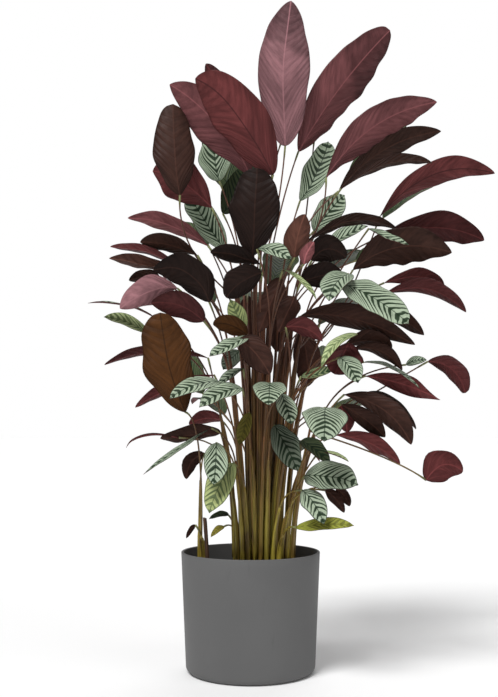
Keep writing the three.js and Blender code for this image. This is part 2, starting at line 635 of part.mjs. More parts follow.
function soilSolid(feet) {
  const gap = CLEARANCE / Math.cos(Math.PI / POT_SIDES) + CLEARANCE;
  const bottom = POT_FLOOR + CLEARANCE;
  const profile = [new THREE.Vector2(0, bottom), new THREE.Vector2(innerRadius(bottom) - gap, bottom)];
  const rings = 3;
  for (let i = 0; i <= rings; i++) {
    const radius = (innerRadius(SOIL_TOP) - gap) * (1 - i / rings);
    profile.push(new THREE.Vector2(radius, soilHeight(CLUMP_CENTRE.x + radius, CLUMP_CENTRE.y)));
  }
  let solid = toSolid(latheSolid(profile, POT_SIDES));
  const holeRadius = STALK_RADIUS + CLEARANCE / Math.cos(Math.PI / STALK_SIDES);
  for (const foot of feet) {
    const bottomOfHole = SOIL_TOP - STALK_SUNK - CLEARANCE;
    const hole = [
      new THREE.Vector3(foot.x, foot.y, bottomOfHole),
      new THREE.Vector3(foot.x, foot.y, POT_HEIGHT)];
    solid = solid.subtract(toSolid(stalkBody(hole, holeRadius, holeRadius, STALK_SIDES)));
  }
  return solid;
}

const plant = new THREE.Group();

function addPiece(name, geometry, look) {
  const mesh = new THREE.Mesh(geometry, new THREE.MeshStandardMaterial({ metalness: 0, ...look }));
  mesh.name = name;
  plant.add(mesh);
}

const feet = stemFeet();
const stubFoot = new THREE.Vector2(...STUB_FOOT);
addPiece("pot", potSolid(), COLOURS.pot);
addPiece("soil", toGeometry(soilSolid([...feet, stubFoot])), COLOURS.soil);
LEAFY_STEMS.forEach((leaves, i) => {
  const name = `leafy_stem_${String(i + 1).padStart(2, "0")}`;
  addPiece(name, toGeometry(leafyStem(leaves, feet[i])), COLOURS.leaf);
});
addPiece("cut_stub", stalkBody([
  new THREE.Vector3(...STUB_FOOT, SOIL_TOP - STALK_SUNK),
  new THREE.Vector3(...STUB_FOOT, soilHeight(...STUB_FOOT) + UPRIGHT_LENGTH),
  new THREE.Vector3(...STUB_TOP),
], STALK_RADIUS, STALK_RADIUS, STALK_SIDES), COLOURS.stub);

export default plant;
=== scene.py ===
"""A never never plant in its round grey planter, dressed over its measured solids, in metres."""
import math
import random

import bpy
import numpy as np
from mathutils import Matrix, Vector, noise


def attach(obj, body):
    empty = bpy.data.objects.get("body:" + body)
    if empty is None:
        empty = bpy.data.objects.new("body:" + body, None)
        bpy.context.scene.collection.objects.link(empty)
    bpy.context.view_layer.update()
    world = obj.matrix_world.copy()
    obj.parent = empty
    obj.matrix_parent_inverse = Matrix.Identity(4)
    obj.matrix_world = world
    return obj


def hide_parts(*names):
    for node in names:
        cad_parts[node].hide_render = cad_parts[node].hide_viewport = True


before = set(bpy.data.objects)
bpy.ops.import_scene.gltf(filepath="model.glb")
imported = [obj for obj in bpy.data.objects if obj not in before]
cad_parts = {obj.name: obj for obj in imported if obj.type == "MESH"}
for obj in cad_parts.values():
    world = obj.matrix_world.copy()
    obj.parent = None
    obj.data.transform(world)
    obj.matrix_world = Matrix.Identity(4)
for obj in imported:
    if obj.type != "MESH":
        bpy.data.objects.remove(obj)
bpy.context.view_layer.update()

# The studio: a pale floor that the planter stands on, a white surround, and soft lamps above and
# in front. The eye is level, as it was for the photograph. None of it belongs to the plant.
MM = 0.001
EYE_DISTANCE = 1800.0
EYE_HEIGHT = 450.0
PICTURE_HEIGHT = 1310.4
FILM_HEIGHT = 36.0
EYE_TO_THE_LEFT = 3.0
HORIZON_SHIFT = 0.118
FLOOR_WIDTH = 120.0
FLOOR_GREY = 0.97
SURROUND_LIGHT = 0.22
SURROUND_WHITE = 1.0


def name_material(name):
    """A new material with its default node tree, and that tree's surface shader."""
    material = bpy.data.materials.new(name)
    material.use_nodes = True
    return material, material.node_tree, material.node_tree.nodes["Principled BSDF"]


def point_at(thing, place, target):
    """Puts a lamp or camera at a place, looking at a target."""
    away = np.subtract(place, target)
    across = math.hypot(away[0], away[1])
    thing.location = place
    thing.rotation_euler = (math.atan2(across, away[2]), 0.0, math.atan2(away[0], -away[1]))


def hang_lamp(name, place, softness, strength):
    """A wide soft lamp, far off in the direction of a place, that lights the floor evenly."""
    lamp = bpy.data.lights.new(name, "SUN")
    lamp.angle = math.radians(softness)
    lamp.energy = strength
    lamp_object = bpy.data.objects.new(name, lamp)
    bpy.context.collection.objects.link(lamp_object)
    point_at(lamp_object, place, (0.0, 0.0, 0.0))


eye_lens = bpy.data.cameras.new("eye")
eye_lens.lens = FILM_HEIGHT * EYE_DISTANCE / PICTURE_HEIGHT
eye_lens.sensor_width = FILM_HEIGHT
eye_lens.shift_y = HORIZON_SHIFT
eye = bpy.data.objects.new("eye", eye_lens)
bpy.context.collection.objects.link(eye)
eye.location = (-EYE_TO_THE_LEFT * MM, -EYE_DISTANCE * MM, EYE_HEIGHT * MM)
eye.rotation_euler = (math.radians(90), 0.0, 0.0)
bpy.context.scene.camera = eye

surround = bpy.data.worlds.new("surround")
surround.use_nodes = True
glow = surround.node_tree.nodes["Background"]
glow.inputs["Color"].default_value = (1.0, 1.0, 1.0, 1.0)
ray = surround.node_tree.nodes.new("ShaderNodeLightPath")
strength = surround.node_tree.nodes.new("ShaderNodeMapRange")
strength.inputs["To Min"].default_value = SURROUND_LIGHT
strength.inputs["To Max"].default_value = SURROUND_WHITE
surround.node_tree.links.new(ray.outputs["Is Camera Ray"], strength.inputs["Value"])
surround.node_tree.links.new(strength.outputs["Result"], glow.inputs["Strength"])
bpy.context.scene.world = surround
bpy.context.scene.view_settings.view_transform = "Standard"

hang_lamp("high_front_lamp", (-0.9, -1.5, 2.6), 22.0, 2.5)
hang_lamp("right_lamp", (2.0, -1.4, 1.4), 40.0, 0.4)
hang_lamp("back_lamp", (0.5, 2.0, 2.4), 40.0, 0.6)

floor_paint, _, floor_shader = name_material("pale_floor")
floor_shader.inputs["Base Color"].default_value = (FLOOR_GREY, FLOOR_GREY, FLOOR_GREY, 1.0)
floor_shader.inputs["Roughness"].default_value = 0.9
half_floor = FLOOR_WIDTH / 2
floor_mesh = bpy.data.meshes.new("floor")
floor_mesh.from_pydata(
    [(-half_floor, -half_floor, 0.0), (half_floor, -half_floor, 0.0),
     (half_floor, half_floor, 0.0), (-half_floor, half_floor, 0.0)],
    [], [(0, 1, 2, 3)])
floor_mesh.materials.append(floor_paint)
floor = bpy.data.objects.new("floor", floor_mesh)
bpy.context.collection.objects.link(floor)

# The planter: one plain round shell of matte grey plastic, a little wider at the rim than at the
# foot, moulded in one piece with a flat narrow rim, a rounded foot edge and a flat underside.
PLANTER_HEIGHT = 224.0
RIM_RADIUS = 130.0
FOOT_RADIUS = 121.5
WALL = 5.0
FLOOR_THICKNESS = 6.0
FOOT_ROUND = 12.0
RIM_ROUND = 1.4
PLANTER_SIDES = 144
WALL_RINGS = 14
PLANTER_GREY = (0.104, 0.104, 0.104)
PLANTER_LIGHTER = (0.116, 0.116, 0.116)
PLANTER_DARKER = (0.092, 0.092, 0.092)


def finish_piece(name, points, faces, materials, face_materials=None, smooth=True):
    """A mesh object at the origin from points in metres."""
    mesh = bpy.data.meshes.new(name)
    mesh.from_pydata(points, [], faces)
    for material in materials:
        mesh.materials.append(material)
    if face_materials is not None:
        mesh.polygons.foreach_set("material_index", face_materials)
    mesh.polygons.foreach_set("use_smooth", [smooth] * len(mesh.polygons))
    mesh.update()
    piece = bpy.data.objects.new(name, mesh)
    bpy.context.collection.objects.link(piece)
    return piece


def turn_profile(profile, sides):
    """Points and faces of a closed turned body. The profile starts and ends on the axis."""
    points = [(0.0, 0.0, profile[0][1] * MM)]
    for radius, height in profile[1:-1]:
        for side in range(sides):
            turn = 2 * math.pi * side / sides
            points.append((radius * math.cos(turn) * MM, radius * math.sin(turn) * MM, height * MM))
    points.append((0.0, 0.0, profile[-1][1] * MM))
    rings = len(profile) - 2
    faces = [(0, 1 + (side + 1) % sides, 1 + side) for side in range(sides)]
    for ring in range(rings - 1):
        low, high = 1 + ring * sides, 1 + (ring + 1) * sides
        for side in range(sides):
            beside = (side + 1) % sides
            faces.append((low + side, low + beside, high + beside, high + side))
    last, top = 1 + (rings - 1) * sides, len(points) - 1
    faces += [(last + side, last + (side + 1) % sides, top) for side in range(sides)]
    return points, faces


def rounded_corner(centre, radius, start_turn, end_turn, steps):
    """Profile points on an arc, turns in degrees from straight outwards."""
    turns = [math.radians(start_turn + (end_turn - start_turn) * i / steps) for i in range(steps + 1)]
    return [(centre[0] + radius * math.cos(t), centre[1] + radius * math.sin(t)) for t in turns]


def add_node(tree, kind, **settings):
    """A shader node with its own properties set."""
    node = tree.nodes.new(kind)
    for setting, value in settings.items():
        setattr(node, setting, value)
    return node


def feed(tree, socket, value):
    """Links a socket to another node's output, or sets it to a plain value."""
    if isinstance(value, bpy.types.NodeSocket):
        tree.links.new(value, socket)
    else:
        socket.default_value = value


def reckon(tree, operation, first, second=0.0, clamp=False):
    """One sum on values or sockets, and its result."""
    node = add_node(tree, "ShaderNodeMath", operation=operation, use_clamp=clamp)
    feed(tree, node.inputs[0], first)
    feed(tree, node.inputs[1], second)
    return node.outputs[0]


def by_identifier(sockets, identifier):
    return next(socket for socket in sockets if socket.identifier == identifier)


def blend(tree, share, first, second, mode="MIX"):
    """One colour laid over another by a share between 0 and 1."""
    node = add_node(tree, "ShaderNodeMix", data_type="RGBA", blend_type=mode)
    feed(tree, by_identifier(node.inputs, "Factor_Float"), share)
    for identifier, colour in (("A_Color", first), ("B_Color", second)):
        given = (*colour, 1.0) if isinstance(colour, tuple) else colour
        feed(tree, by_identifier(node.inputs, identifier), given)
    return by_identifier(node.outputs, "Result_Color")


def mottle(tree, scale, detail=4.0, stretch=(1.0, 1.0, 1.0), coordinates=None):
    """Noise on the piece's own coordinates, in spots of about 1/scale metres."""
    if coordinates is None:
        coordinates = add_node(tree, "ShaderNodeTexCoord").outputs["Object"]
    mapping = add_node(tree, "ShaderNodeMapping")
    mapping.inputs["Scale"].default_value = stretch
    tree.links.new(coordinates, mapping.inputs["Vector"])
    noise = add_node(tree, "ShaderNodeTexNoise")
    noise.inputs["Scale"].default_value = scale
    noise.inputs["Detail"].default_value = detail
    tree.links.new(mapping.outputs["Vector"], noise.inputs["Vector"])
    return noise.outputs["Fac"]


def spread_out(tree, value, low, high, to_low=0.0, to_high=1.0):
    """Stretches low..high of a value to a new range, smoothly and held at both ends."""
    node = add_node(tree, "ShaderNodeMapRange", interpolation_type="SMOOTHSTEP")
    for socket, number in zip(("Value", "From Min", "From Max", "To Min", "To Max"),
                              (value, low, high, to_low, to_high)):
        feed(tree, node.inputs[socket], number)
    return node.outputs["Result"]


def roughen(tree, shader, height, distance, strength=1.0):
    """Fine relief from a height value, at most the given distance deep."""
    bump = add_node(tree, "ShaderNodeBump")
    bump.inputs["Strength"].default_value = strength
    bump.inputs["Distance"].default_value = distance
    tree.links.new(height, bump.inputs["Height"])
    tree.links.new(bump.outputs["Normal"], shader.inputs["Normal"])


planter_plastic, tree, shader = name_material("matte_grey_plastic")
clouds = spread_out(tree, mottle(tree, 9.0), 0.35, 0.65)
grain = mottle(tree, 900.0, detail=2.0)
scuffs = spread_out(tree, mottle(tree, 60.0, stretch=(1.0, 1.0, 0.25)), 0.62, 0.74)
grey = blend(tree, clouds, PLANTER_GREY, PLANTER_LIGHTER)
grey = blend(tree, reckon(tree, "MULTIPLY", scuffs, 0.5), grey, PLANTER_DARKER)
grey = blend(tree, spread_out(tree, grain, 0.3, 0.7, 0.0, 0.12), grey, PLANTER_DARKER)
tree.links.new(grey, shader.inputs["Base Color"])
tree.links.new(spread_out(tree, clouds, 0.0, 1.0, 0.56, 0.68), shader.inputs["Roughness"])
roughen(tree, shader, grain, 0.00025, 0.5)

taper = (RIM_RADIUS - FOOT_RADIUS) / (PLANTER_HEIGHT - FOOT_ROUND)
outside_wall = [(FOOT_RADIUS + taper * (PLANTER_HEIGHT - FOOT_ROUND) * i / WALL_RINGS,
                 FOOT_ROUND + (PLANTER_HEIGHT - RIM_ROUND - FOOT_ROUND) * i / WALL_RINGS)
                for i in range(1, WALL_RINGS)]
planter_profile = (
    [(0.0, 0.0), (FOOT_RADIUS * 0.5, 0.0)]
    + rounded_corner((FOOT_RADIUS - FOOT_ROUND, FOOT_ROUND), FOOT_ROUND, -90, 0, 8)
    + outside_wall
    + rounded_corner((RIM_RADIUS - RIM_ROUND, PLANTER_HEIGHT - RIM_ROUND), RIM_ROUND, 0, 90, 4)
    + rounded_corner((RIM_RADIUS - WALL + RIM_ROUND, PLANTER_HEIGHT - RIM_ROUND), RIM_ROUND,
                     90, 180, 4)
    + [(RIM_RADIUS - WALL - 0.5 * (RIM_RADIUS - FOOT_RADIUS), PLANTER_HEIGHT / 2),
       (FOOT_RADIUS - WALL, FLOOR_THICKNESS), (0.0, FLOOR_THICKNESS)])
planter = finish_piece("planter", *turn_profile(planter_profile, PLANTER_SIDES), [planter_plastic])
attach(planter, "root")
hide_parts("pot")

# The soil: dark peat, bark and grit, pressed into the planter to a few centimetres under its rim
# and mounded round the stems. Its lumps are part of the fill, and loose bits of bark lie on it.
SOIL_BELOW_RIM = 35.0
SOIL_MOUND = 22.0
MOUND_RADIUS = 80.0
CLUMP_ACROSS = 15.0
SOIL_GAP = 0.8
SOIL_RINGS = 60
SOIL_SIDES = 160
LUMPS = ((22.0, 3.2), (8.0, 1.8), (3.4, 1.0))
PEAT = (0.0135, 0.0095, 0.0060)
PEAT_DRY = (0.034, 0.024, 0.015)
BARK_DARK = (0.020, 0.012, 0.007)
BARK_LIGHT = (0.115, 0.072, 0.040)
BITS_TO_A_SQUARE_METRE = 26000.0
LONGEST_BIT = 0.0075
BARK_SEED = 11


def soil_height(x, y):
    """Height in mm of the smooth mound at a place in mm."""
    from_clump = math.hypot(x - CLUMP_ACROSS, y) / MOUND_RADIUS
    return PLANTER_HEIGHT - SOIL_BELOW_RIM + SOIL_MOUND * math.exp(-from_clump ** 2)


def inner_radius(height):
    share = (height - FLOOR_THICKNESS) / (PLANTER_HEIGHT - FLOOR_THICKNESS)
    return FOOT_RADIUS - WALL + (RIM_RADIUS - FOOT_RADIUS) * share


def lumpy_height(x, y):
    """The mound with its lumps, which die away at the planter's wall."""
    to_wall = inner_radius(PLANTER_HEIGHT - SOIL_BELOW_RIM) - math.hypot(x, y)
    lumps = sum(rise * noise.noise(Vector((x / spacing, y / spacing, rise)))
                for spacing, rise in LUMPS)
    return soil_height(x, y) + lumps * min(1.0, max(0.0, to_wall / 6.0))


soil_edge = inner_radius(PLANTER_HEIGHT - SOIL_BELOW_RIM) - SOIL_GAP
soil_points = [(0.0, 0.0, lumpy_height(0.0, 0.0) * MM)]
for ring in range(1, SOIL_RINGS + 1):
    radius = soil_edge * (ring / SOIL_RINGS)
    for side in range(SOIL_SIDES):
        turn = 2 * math.pi * side / SOIL_SIDES
        x, y = radius * math.cos(turn), radius * math.sin(turn)
        soil_points.append((x * MM, y * MM, lumpy_height(x, y) * MM))
soil_faces = [(0, 1 + side, 1 + (side + 1) % SOIL_SIDES) for side in range(SOIL_SIDES)]
for ring in range(SOIL_RINGS - 1):
    near, far = 1 + ring * SOIL_SIDES, 1 + (ring + 1) * SOIL_SIDES
    for side in range(SOIL_SIDES):
        beside = (side + 1) % SOIL_SIDES
        soil_faces.append((near + side, far + side, far + beside, near + beside))
soil_top = (list(soil_points), list(soil_faces))

bottom = FLOOR_THICKNESS + SOIL_GAP
rim = 1 + (SOIL_RINGS - 1) * SOIL_SIDES
foot = len(soil_points)
for side in range(SOIL_SIDES):
    turn = 2 * math.pi * side / SOIL_SIDES
    radius = inner_radius(bottom) - SOIL_GAP
    soil_points.append((radius * math.cos(turn) * MM, radius * math.sin(turn) * MM, bottom * MM))
soil_points.append((0.0, 0.0, bottom * MM))
for side in range(SOIL_SIDES):
    beside = (side + 1) % SOIL_SIDES
    soil_faces.append((rim + side, foot + side, foot + beside, rim + beside))
    soil_faces.append((foot + side, len(soil_points) - 1, foot + beside))

peat, tree, shader = name_material("peat")
crumbs = mottle(tree, 420.0, detail=5.0)
damp = spread_out(tree, mottle(tree, 28.0), 0.35, 0.7)
earth = blend(tree, damp, PEAT, PEAT_DRY)
earth = blend(tree, spread_out(tree, crumbs, 0.55, 0.75, 0.0, 0.7), earth, BARK_LIGHT)
tree.links.new(earth, shader.inputs["Base Color"])
shader.inputs["Roughness"].default_value = 0.95
roughen(tree, shader, crumbs, 0.0016)
soil = finish_piece("potting_soil", soil_points, soil_faces, [peat])
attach(soil, "root")
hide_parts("soil")


def start_tree(name, inputs):
    """A Geometry Nodes tree with geometry in and out, its named inputs, and their identifiers."""
    tree = bpy.data.node_groups.new(name, "GeometryNodeTree")
    tree.interface.new_socket("Geometry", in_out="INPUT", socket_type="NodeSocketGeometry")
    tree.interface.new_socket("Geometry", in_out="OUTPUT", socket_type="NodeSocketGeometry")
    identifiers = {}
    for label, kind in inputs.items():
        identifiers[label] = tree.interface.new_socket(
            label, in_out="INPUT", socket_type=kind).identifier
    return tree, tree.nodes.new("NodeGroupInput"), tree.nodes.new("NodeGroupOutput"), identifiers


def keep_result(ground, tree, identifiers, values, name):
    """What a tree makes on a piece, kept as a plain mesh piece in place of the first one."""
    modifier = ground.modifiers.new(tree.name, "NODES")
    modifier.node_group = tree
    for label, value in values.items():
        modifier[identifiers[label]] = value
    bpy.context.view_layer.update()
    evaluated = ground.evaluated_get(bpy.context.evaluated_depsgraph_get())
    mesh = bpy.data.meshes.new_from_object(evaluated)
    mesh.name = name
    piece = bpy.data.objects.new(name, mesh)
    bpy.context.collection.objects.link(piece)
    bpy.data.objects.remove(ground)
    return piece


bark, tree, shader = name_material("bark")
bit_shade = add_node(tree, "ShaderNodeAttribute", attribute_name="bit_shade").outputs["Fac"]
grainy = mottle(tree, 700.0, stretch=(1.0, 1.0, 0.3))
brown = blend(tree, bit_shade, BARK_DARK, BARK_LIGHT)
brown = blend(tree, spread_out(tree, grainy, 0.4, 0.65, 0.0, 0.6), brown, BARK_DARK)
tree.links.new(brown, shader.inputs["Base Color"])
shader.inputs["Roughness"].default_value = 0.85
roughen(tree, shader, grainy, 0.0006)

strewn, strewn_in, strewn_out, strewn_sizes = start_tree("strewn_bark", {
    "Bits to a square metre": "NodeSocketFloat",
    "Longest bit": "NodeSocketFloat",
    "Seed": "NodeSocketInt"})
scatter = add_node(strewn, "GeometryNodeDistributePointsOnFaces")
strewn.links.new(strewn_in.outputs["Geometry"], scatter.inputs["Mesh"])
strewn.links.new(strewn_in.outputs["Bits to a square metre"], scatter.inputs["Density"])
strewn.links.new(strewn_in.outputs["Seed"], scatter.inputs["Seed"])
bit = add_node(strewn, "GeometryNodeMeshIcoSphere")
bit.inputs["Subdivisions"].default_value = 2
strewn.links.new(strewn_in.outputs["Longest bit"], bit.inputs["Radius"])
lay = add_node(strewn, "GeometryNodeInstanceOnPoints")
strewn.links.new(scatter.outputs["Points"], lay.inputs["Points"])
strewn.links.new(bit.outputs["Mesh"], lay.inputs["Instance"])
for socket, lowest, highest in (("Rotation", (-0.5, -0.5, 0.0), (0.5, 0.5, 6.28)),
                                ("Scale", (0.12, 0.08, 0.05), (0.75, 0.38, 0.2))):
    chance = add_node(strewn, "FunctionNodeRandomValue", data_type="FLOAT_VECTOR")
    chance.inputs["Min"].default_value = lowest
    chance.inputs["Max"].default_value = highest
    strewn.links.new(strewn_in.outputs["Seed"], chance.inputs["Seed"])
    strewn.links.new(chance.outputs["Value"], lay.inputs[socket])
shade = add_node(strewn, "FunctionNodeRandomValue", data_type="FLOAT")
strewn.links.new(strewn_in.outputs["Seed"], shade.inputs["Seed"])
keep_shade = add_node(strewn, "GeometryNodeStoreNamedAttribute", data_type="FLOAT",
                      domain="INSTANCE")
keep_shade.inputs["Name"].default_value = "bit_shade"
strewn.links.new(lay.outputs["Instances"], keep_shade.inputs["Geometry"])
strewn.links.new(by_identifier(shade.outputs, "Value_001"), keep_shade.inputs["Value"])
realize = add_node(strewn, "GeometryNodeRealizeInstances")
strewn.links.new(keep_shade.outputs["Geometry"], realize.inputs["Geometry"])
gnarl = add_node(strewn, "ShaderNodeTexNoise")
gnarl.inputs["Scale"].default_value = 380.0
centred = add_node(strewn, "ShaderNodeVectorMath", operation="SUBTRACT")
centred.inputs[1].default_value = (0.5, 0.5, 0.5)
strewn.links.new(gnarl.outputs["Color"], centred.inputs[0])
shrunk = add_node(strewn, "ShaderNodeVectorMath", operation="SCALE")
shrunk.inputs["Scale"].default_value = 0.003
strewn.links.new(centred.outputs["Vector"], shrunk.inputs[0])
move = add_node(strewn, "GeometryNodeSetPosition")
strewn.links.new(realize.outputs["Geometry"], move.inputs["Geometry"])
strewn.links.new(shrunk.outputs["Vector"], move.inputs["Offset"])
paint = add_node(strewn, "GeometryNodeSetMaterial")
paint.inputs["Material"].default_value = bark
strewn.links.new(move.outputs["Geometry"], paint.inputs["Geometry"])
strewn.links.new(paint.outputs["Geometry"], strewn_out.inputs["Geometry"])
bark_ground = finish_piece("bark_ground", *soil_top, [bark])
bark_bits = keep_result(bark_ground, strewn, strewn_sizes, {
    "Bits to a square metre": BITS_TO_A_SQUARE_METRE,
    "Longest bit": LONGEST_BIT,
    "Seed": BARK_SEED}, "bark_bits")
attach(bark_bits, "root")

# The leafy stems: upright stalks crowded in one clump, each with one to five leaves on thin leaf
# stalks. Blades are leathery, silver green with dark bands above and wine red beneath, and a
# pale joint under each blade turns it to the light. Each stem grew as one, its foot in the soil.
STALK_SUNK = 26.0
UPRIGHT_LENGTH = 8.0
UPRIGHT_SHARE = 0.4
FORK_SHARE = 0.75
FORK_LEAN = 0.25
STALK_RADIUS = 3.5
STALK_TOP_RADIUS = 2.2
SHEATH_THICKNESS = 0.7
SHEATH_ENDS = (0.15, 0.6)
SHEATH_TAPER = 0.03
BUNDLE_START = 0.0
BUNDLE_CLOSES = 0.8
BUNDLE_GAP = 3.8
TURN_TO_NEXT_STALK = 2.4
STALK_SIDES = 12
STALK_STEP = 12.0
LEAF_STALK_SUNK = 6.0
LEAF_STALK_RISE = 0.55
LEAF_STALK_RADIUS = 1.9
LEAF_STALK_TOP_RADIUS = 1.35
LEAF_STALK_SIDES = 8
JOINT_LENGTH = 17.0
JOINT_RADIUS = 1.9
FEWEST_STALK_STEPS = 8
JOINT_FADE = 4.0
BLADE_CURL = 0.45
CURL_CHANGES = (-0.08, 0.12)
ANY_PHASE = (0.0, 6.28)
DRIP_TIP_START = 0.975
DRIP_TIP_WIDTH = 0.09
NARROWEST_SHARE = 0.012
BLADE_HALF_THICKNESS = 0.3
RIB_BENEATH = 0.75
RIB_GROOVE = 0.18
RIB_WIDTH = 1.6
RIB_THINNING = 0.75
WIDE_COLUMNS = (0.0, 0.045, 0.13, 0.26, 0.4, 0.54, 0.68, 0.81, 0.92, 1.0)
NARROW_COLUMNS = (0.0, 0.1, 0.3, 0.55, 0.8, 1.0)
NARROW_LEAF = 34.0
ROW_LENGTH = 4.5
RIPPLE_LENGTHS = ((34.0, 60.0), (70.0, 120.0))
RIPPLE_SHARES = (0.008, 0.03)
TUCKED_SHARES = (-0.03, 0.08)
UNEVEN_WAVES = (0.7, 2.4)
UNEVEN_SHARE = 0.06
SWAY_SHARE = 0.012
SWAY_WAVES = (0.8, 1.6)
SWAY_SIDEWAYS = 0.6
RIPPLE_GROWTH = 2.2
TUCK_GROWTH = 5
CALM_ENDS = 6.0
ROWS_TO_ENDS = 0.6
FEWEST_ROWS = 12
MOST_ROWS = 56
SHADE_SLANT = 0.07
SHADE_BLUR = 0.07
PAST_THE_TIP = 2.0
VEIN_SPACING = 13.0
FEWEST_VEINS = 6
MOST_VEINS = 22
VEIN_REACH = 1.9
VEIN_REACH_LIMITS = (0.36, 0.58)
VEIN_SWEEP = 1.12

# Outlines of the blades: where along it a blade is broadest, and how blunt its base and its tip
# are, the smaller the blunter.
OUTLINES = {
    "oval": (0.45, 0.55, 0.62),
    "strap": (0.55, 0.7, 0.4),
    "lance": (0.55, 0.95, 0.7),
    "heart": (0.38, 0.46, 0.54),
}

# Colours of the plant, given as red, green and blue from 0 to 255. Each look of a leaf
# and each stretch of a stalk is one of them, or a mix of two, in a lighter or darker tone.
# The pink is the wine red underside with a painted sheen: the pale shine it shows where it turns to
# the light.
SHEEN_PINK = (155, 110, 115)
WINE_RED = (108, 54, 54)
# The brown is the wine red underside in painted shade, as it shows deep in the clump and turned
# downwards.
SHADED_BROWN = (75, 48, 40)
# The olive brown is painted light: the glow of a wine red leaf lit from behind.
BACKLIT_OLIVE_BROWN = (75, 45, 20)
SILVER = (170, 185, 160)
LIME = (170, 175, 75)
LEAF_GREEN = (85, 98, 65)
BAND_GREEN = (30, 48, 30)
STRAW = (160, 150, 65)
STALK_GOLD = (175, 160, 55)
STALK_UMBER = (75, 45, 25)
STALK_ROSE = (115, 75, 60)
LIGHTER_RIBS = 1.25
DARKER_RIBS = 0.65


def in_tone(colour, tone):
    """A colour made lighter or darker as a whole."""
    return tuple(tone * part for part in colour)


def mixed(first, second, share):
    """A colour on the way from one to another."""
    return tuple((1 - share) * one + share * other for one, other in zip(first, second))


def underside(ground, tone=1.0, ribs=LIGHTER_RIBS):
    """A leaf's underside ground and ribs, in a tone that partly paints light and shade."""
    return in_tone(ground, tone), in_tone(ground, tone * ribs)


MAUVE = mixed(SHEEN_PINK, WINE_RED, 0.6)
PALE_LIME = mixed(SILVER, LIME, 0.3)

# What a leaf shows: for undersides the ground and its ribs, for upper sides the ground and its
# bands. Much of the range of the undersides is painted light: the darker tones paint the shade on
# leaves deep in the clump and turned downwards, and the pink ones a painted sheen.
UNDERSIDES = {
    "pink": underside(SHEEN_PINK, 0.95, 1.15),
    "pale_pink": underside(SHEEN_PINK, 1.05, 1.1),
    "mauve_brown": underside(MAUVE, 0.95),
    "mauve_red": underside(MAUVE, 0.9),
    "red_pink": underside(MAUVE, 1.1),
    "burgundy_red": underside(WINE_RED, 0.95, DARKER_RIBS),
    "burgundy": underside(WINE_RED, 0.85),
    "dark_burgundy": underside(WINE_RED, 0.7),
    "red": underside(WINE_RED, 0.95),
    "dark_red": underside(WINE_RED, 0.75),
    "brown": underside(SHADED_BROWN, 0.9),
    "dark_brown": underside(SHADED_BROWN, 0.8),
    "grey_brown": underside(SHADED_BROWN, 1.2),
    "black_brown": underside(SHADED_BROWN, 0.45, 1.5),
    "olive": underside(BACKLIT_OLIVE_BROWN, 1.0, DARKER_RIBS),
}
UPPERSIDES = {
    "silver": (SILVER, BAND_GREEN),
    "shaded_silver": (in_tone(SILVER, 0.6), in_tone(BAND_GREEN, 0.85)),
    "silver_green": (in_tone(PALE_LIME, 0.9), in_tone(BAND_GREEN, 1.45)),
    "pale_green": (in_tone(PALE_LIME, 1.1), in_tone(LEAF_GREEN, 1.25)),
    "green": (LEAF_GREEN, BAND_GREEN),
    "shaded_green": (in_tone(LEAF_GREEN, 0.68), in_tone(BAND_GREEN, 0.75)),
    "yellow_silver": (mixed(SILVER, LIME, 0.45), in_tone(LEAF_GREEN, 1.1)),
    "yellow_green": (LIME, in_tone(LIME, 0.7)),
    "yellow": (STRAW, in_tone(STRAW, 0.72)),
    "olive_yellow": (in_tone(STRAW, 0.66), in_tone(STRAW, 0.52)),
}
USUAL_UNDERSIDE = "burgundy"
USUAL_UPPERSIDE = "green"
STALK_COLOURS = (STALK_GOLD, in_tone(STALK_GOLD, 0.88), mixed(STALK_GOLD, STALK_UMBER, 0.6),
                 STALK_UMBER, mixed(STALK_UMBER, STALK_ROSE, 0.6), STALK_ROSE)
STALK_COLOUR_HEIGHTS = (0.0, 100.0, 220.0, 400.0, 600.0, 900.0)
STALK_RED_BROWN = (98, 50, 28)
STALK_MOST_RED = 0.65
STALK_TONES = (0.75, 1.25)
STALK_BLOTCH = (66, 34, 22)
JOINT_COLOUR = (120, 124, 76)


def leaf(base, middle, tip, width, face, look, **others):
    """One leaf: three places along its midrib, its width, where it faces and what it shows."""
    return dict(base=base, middle=middle, tip=tip, width=width, face=face, look=look, **others)


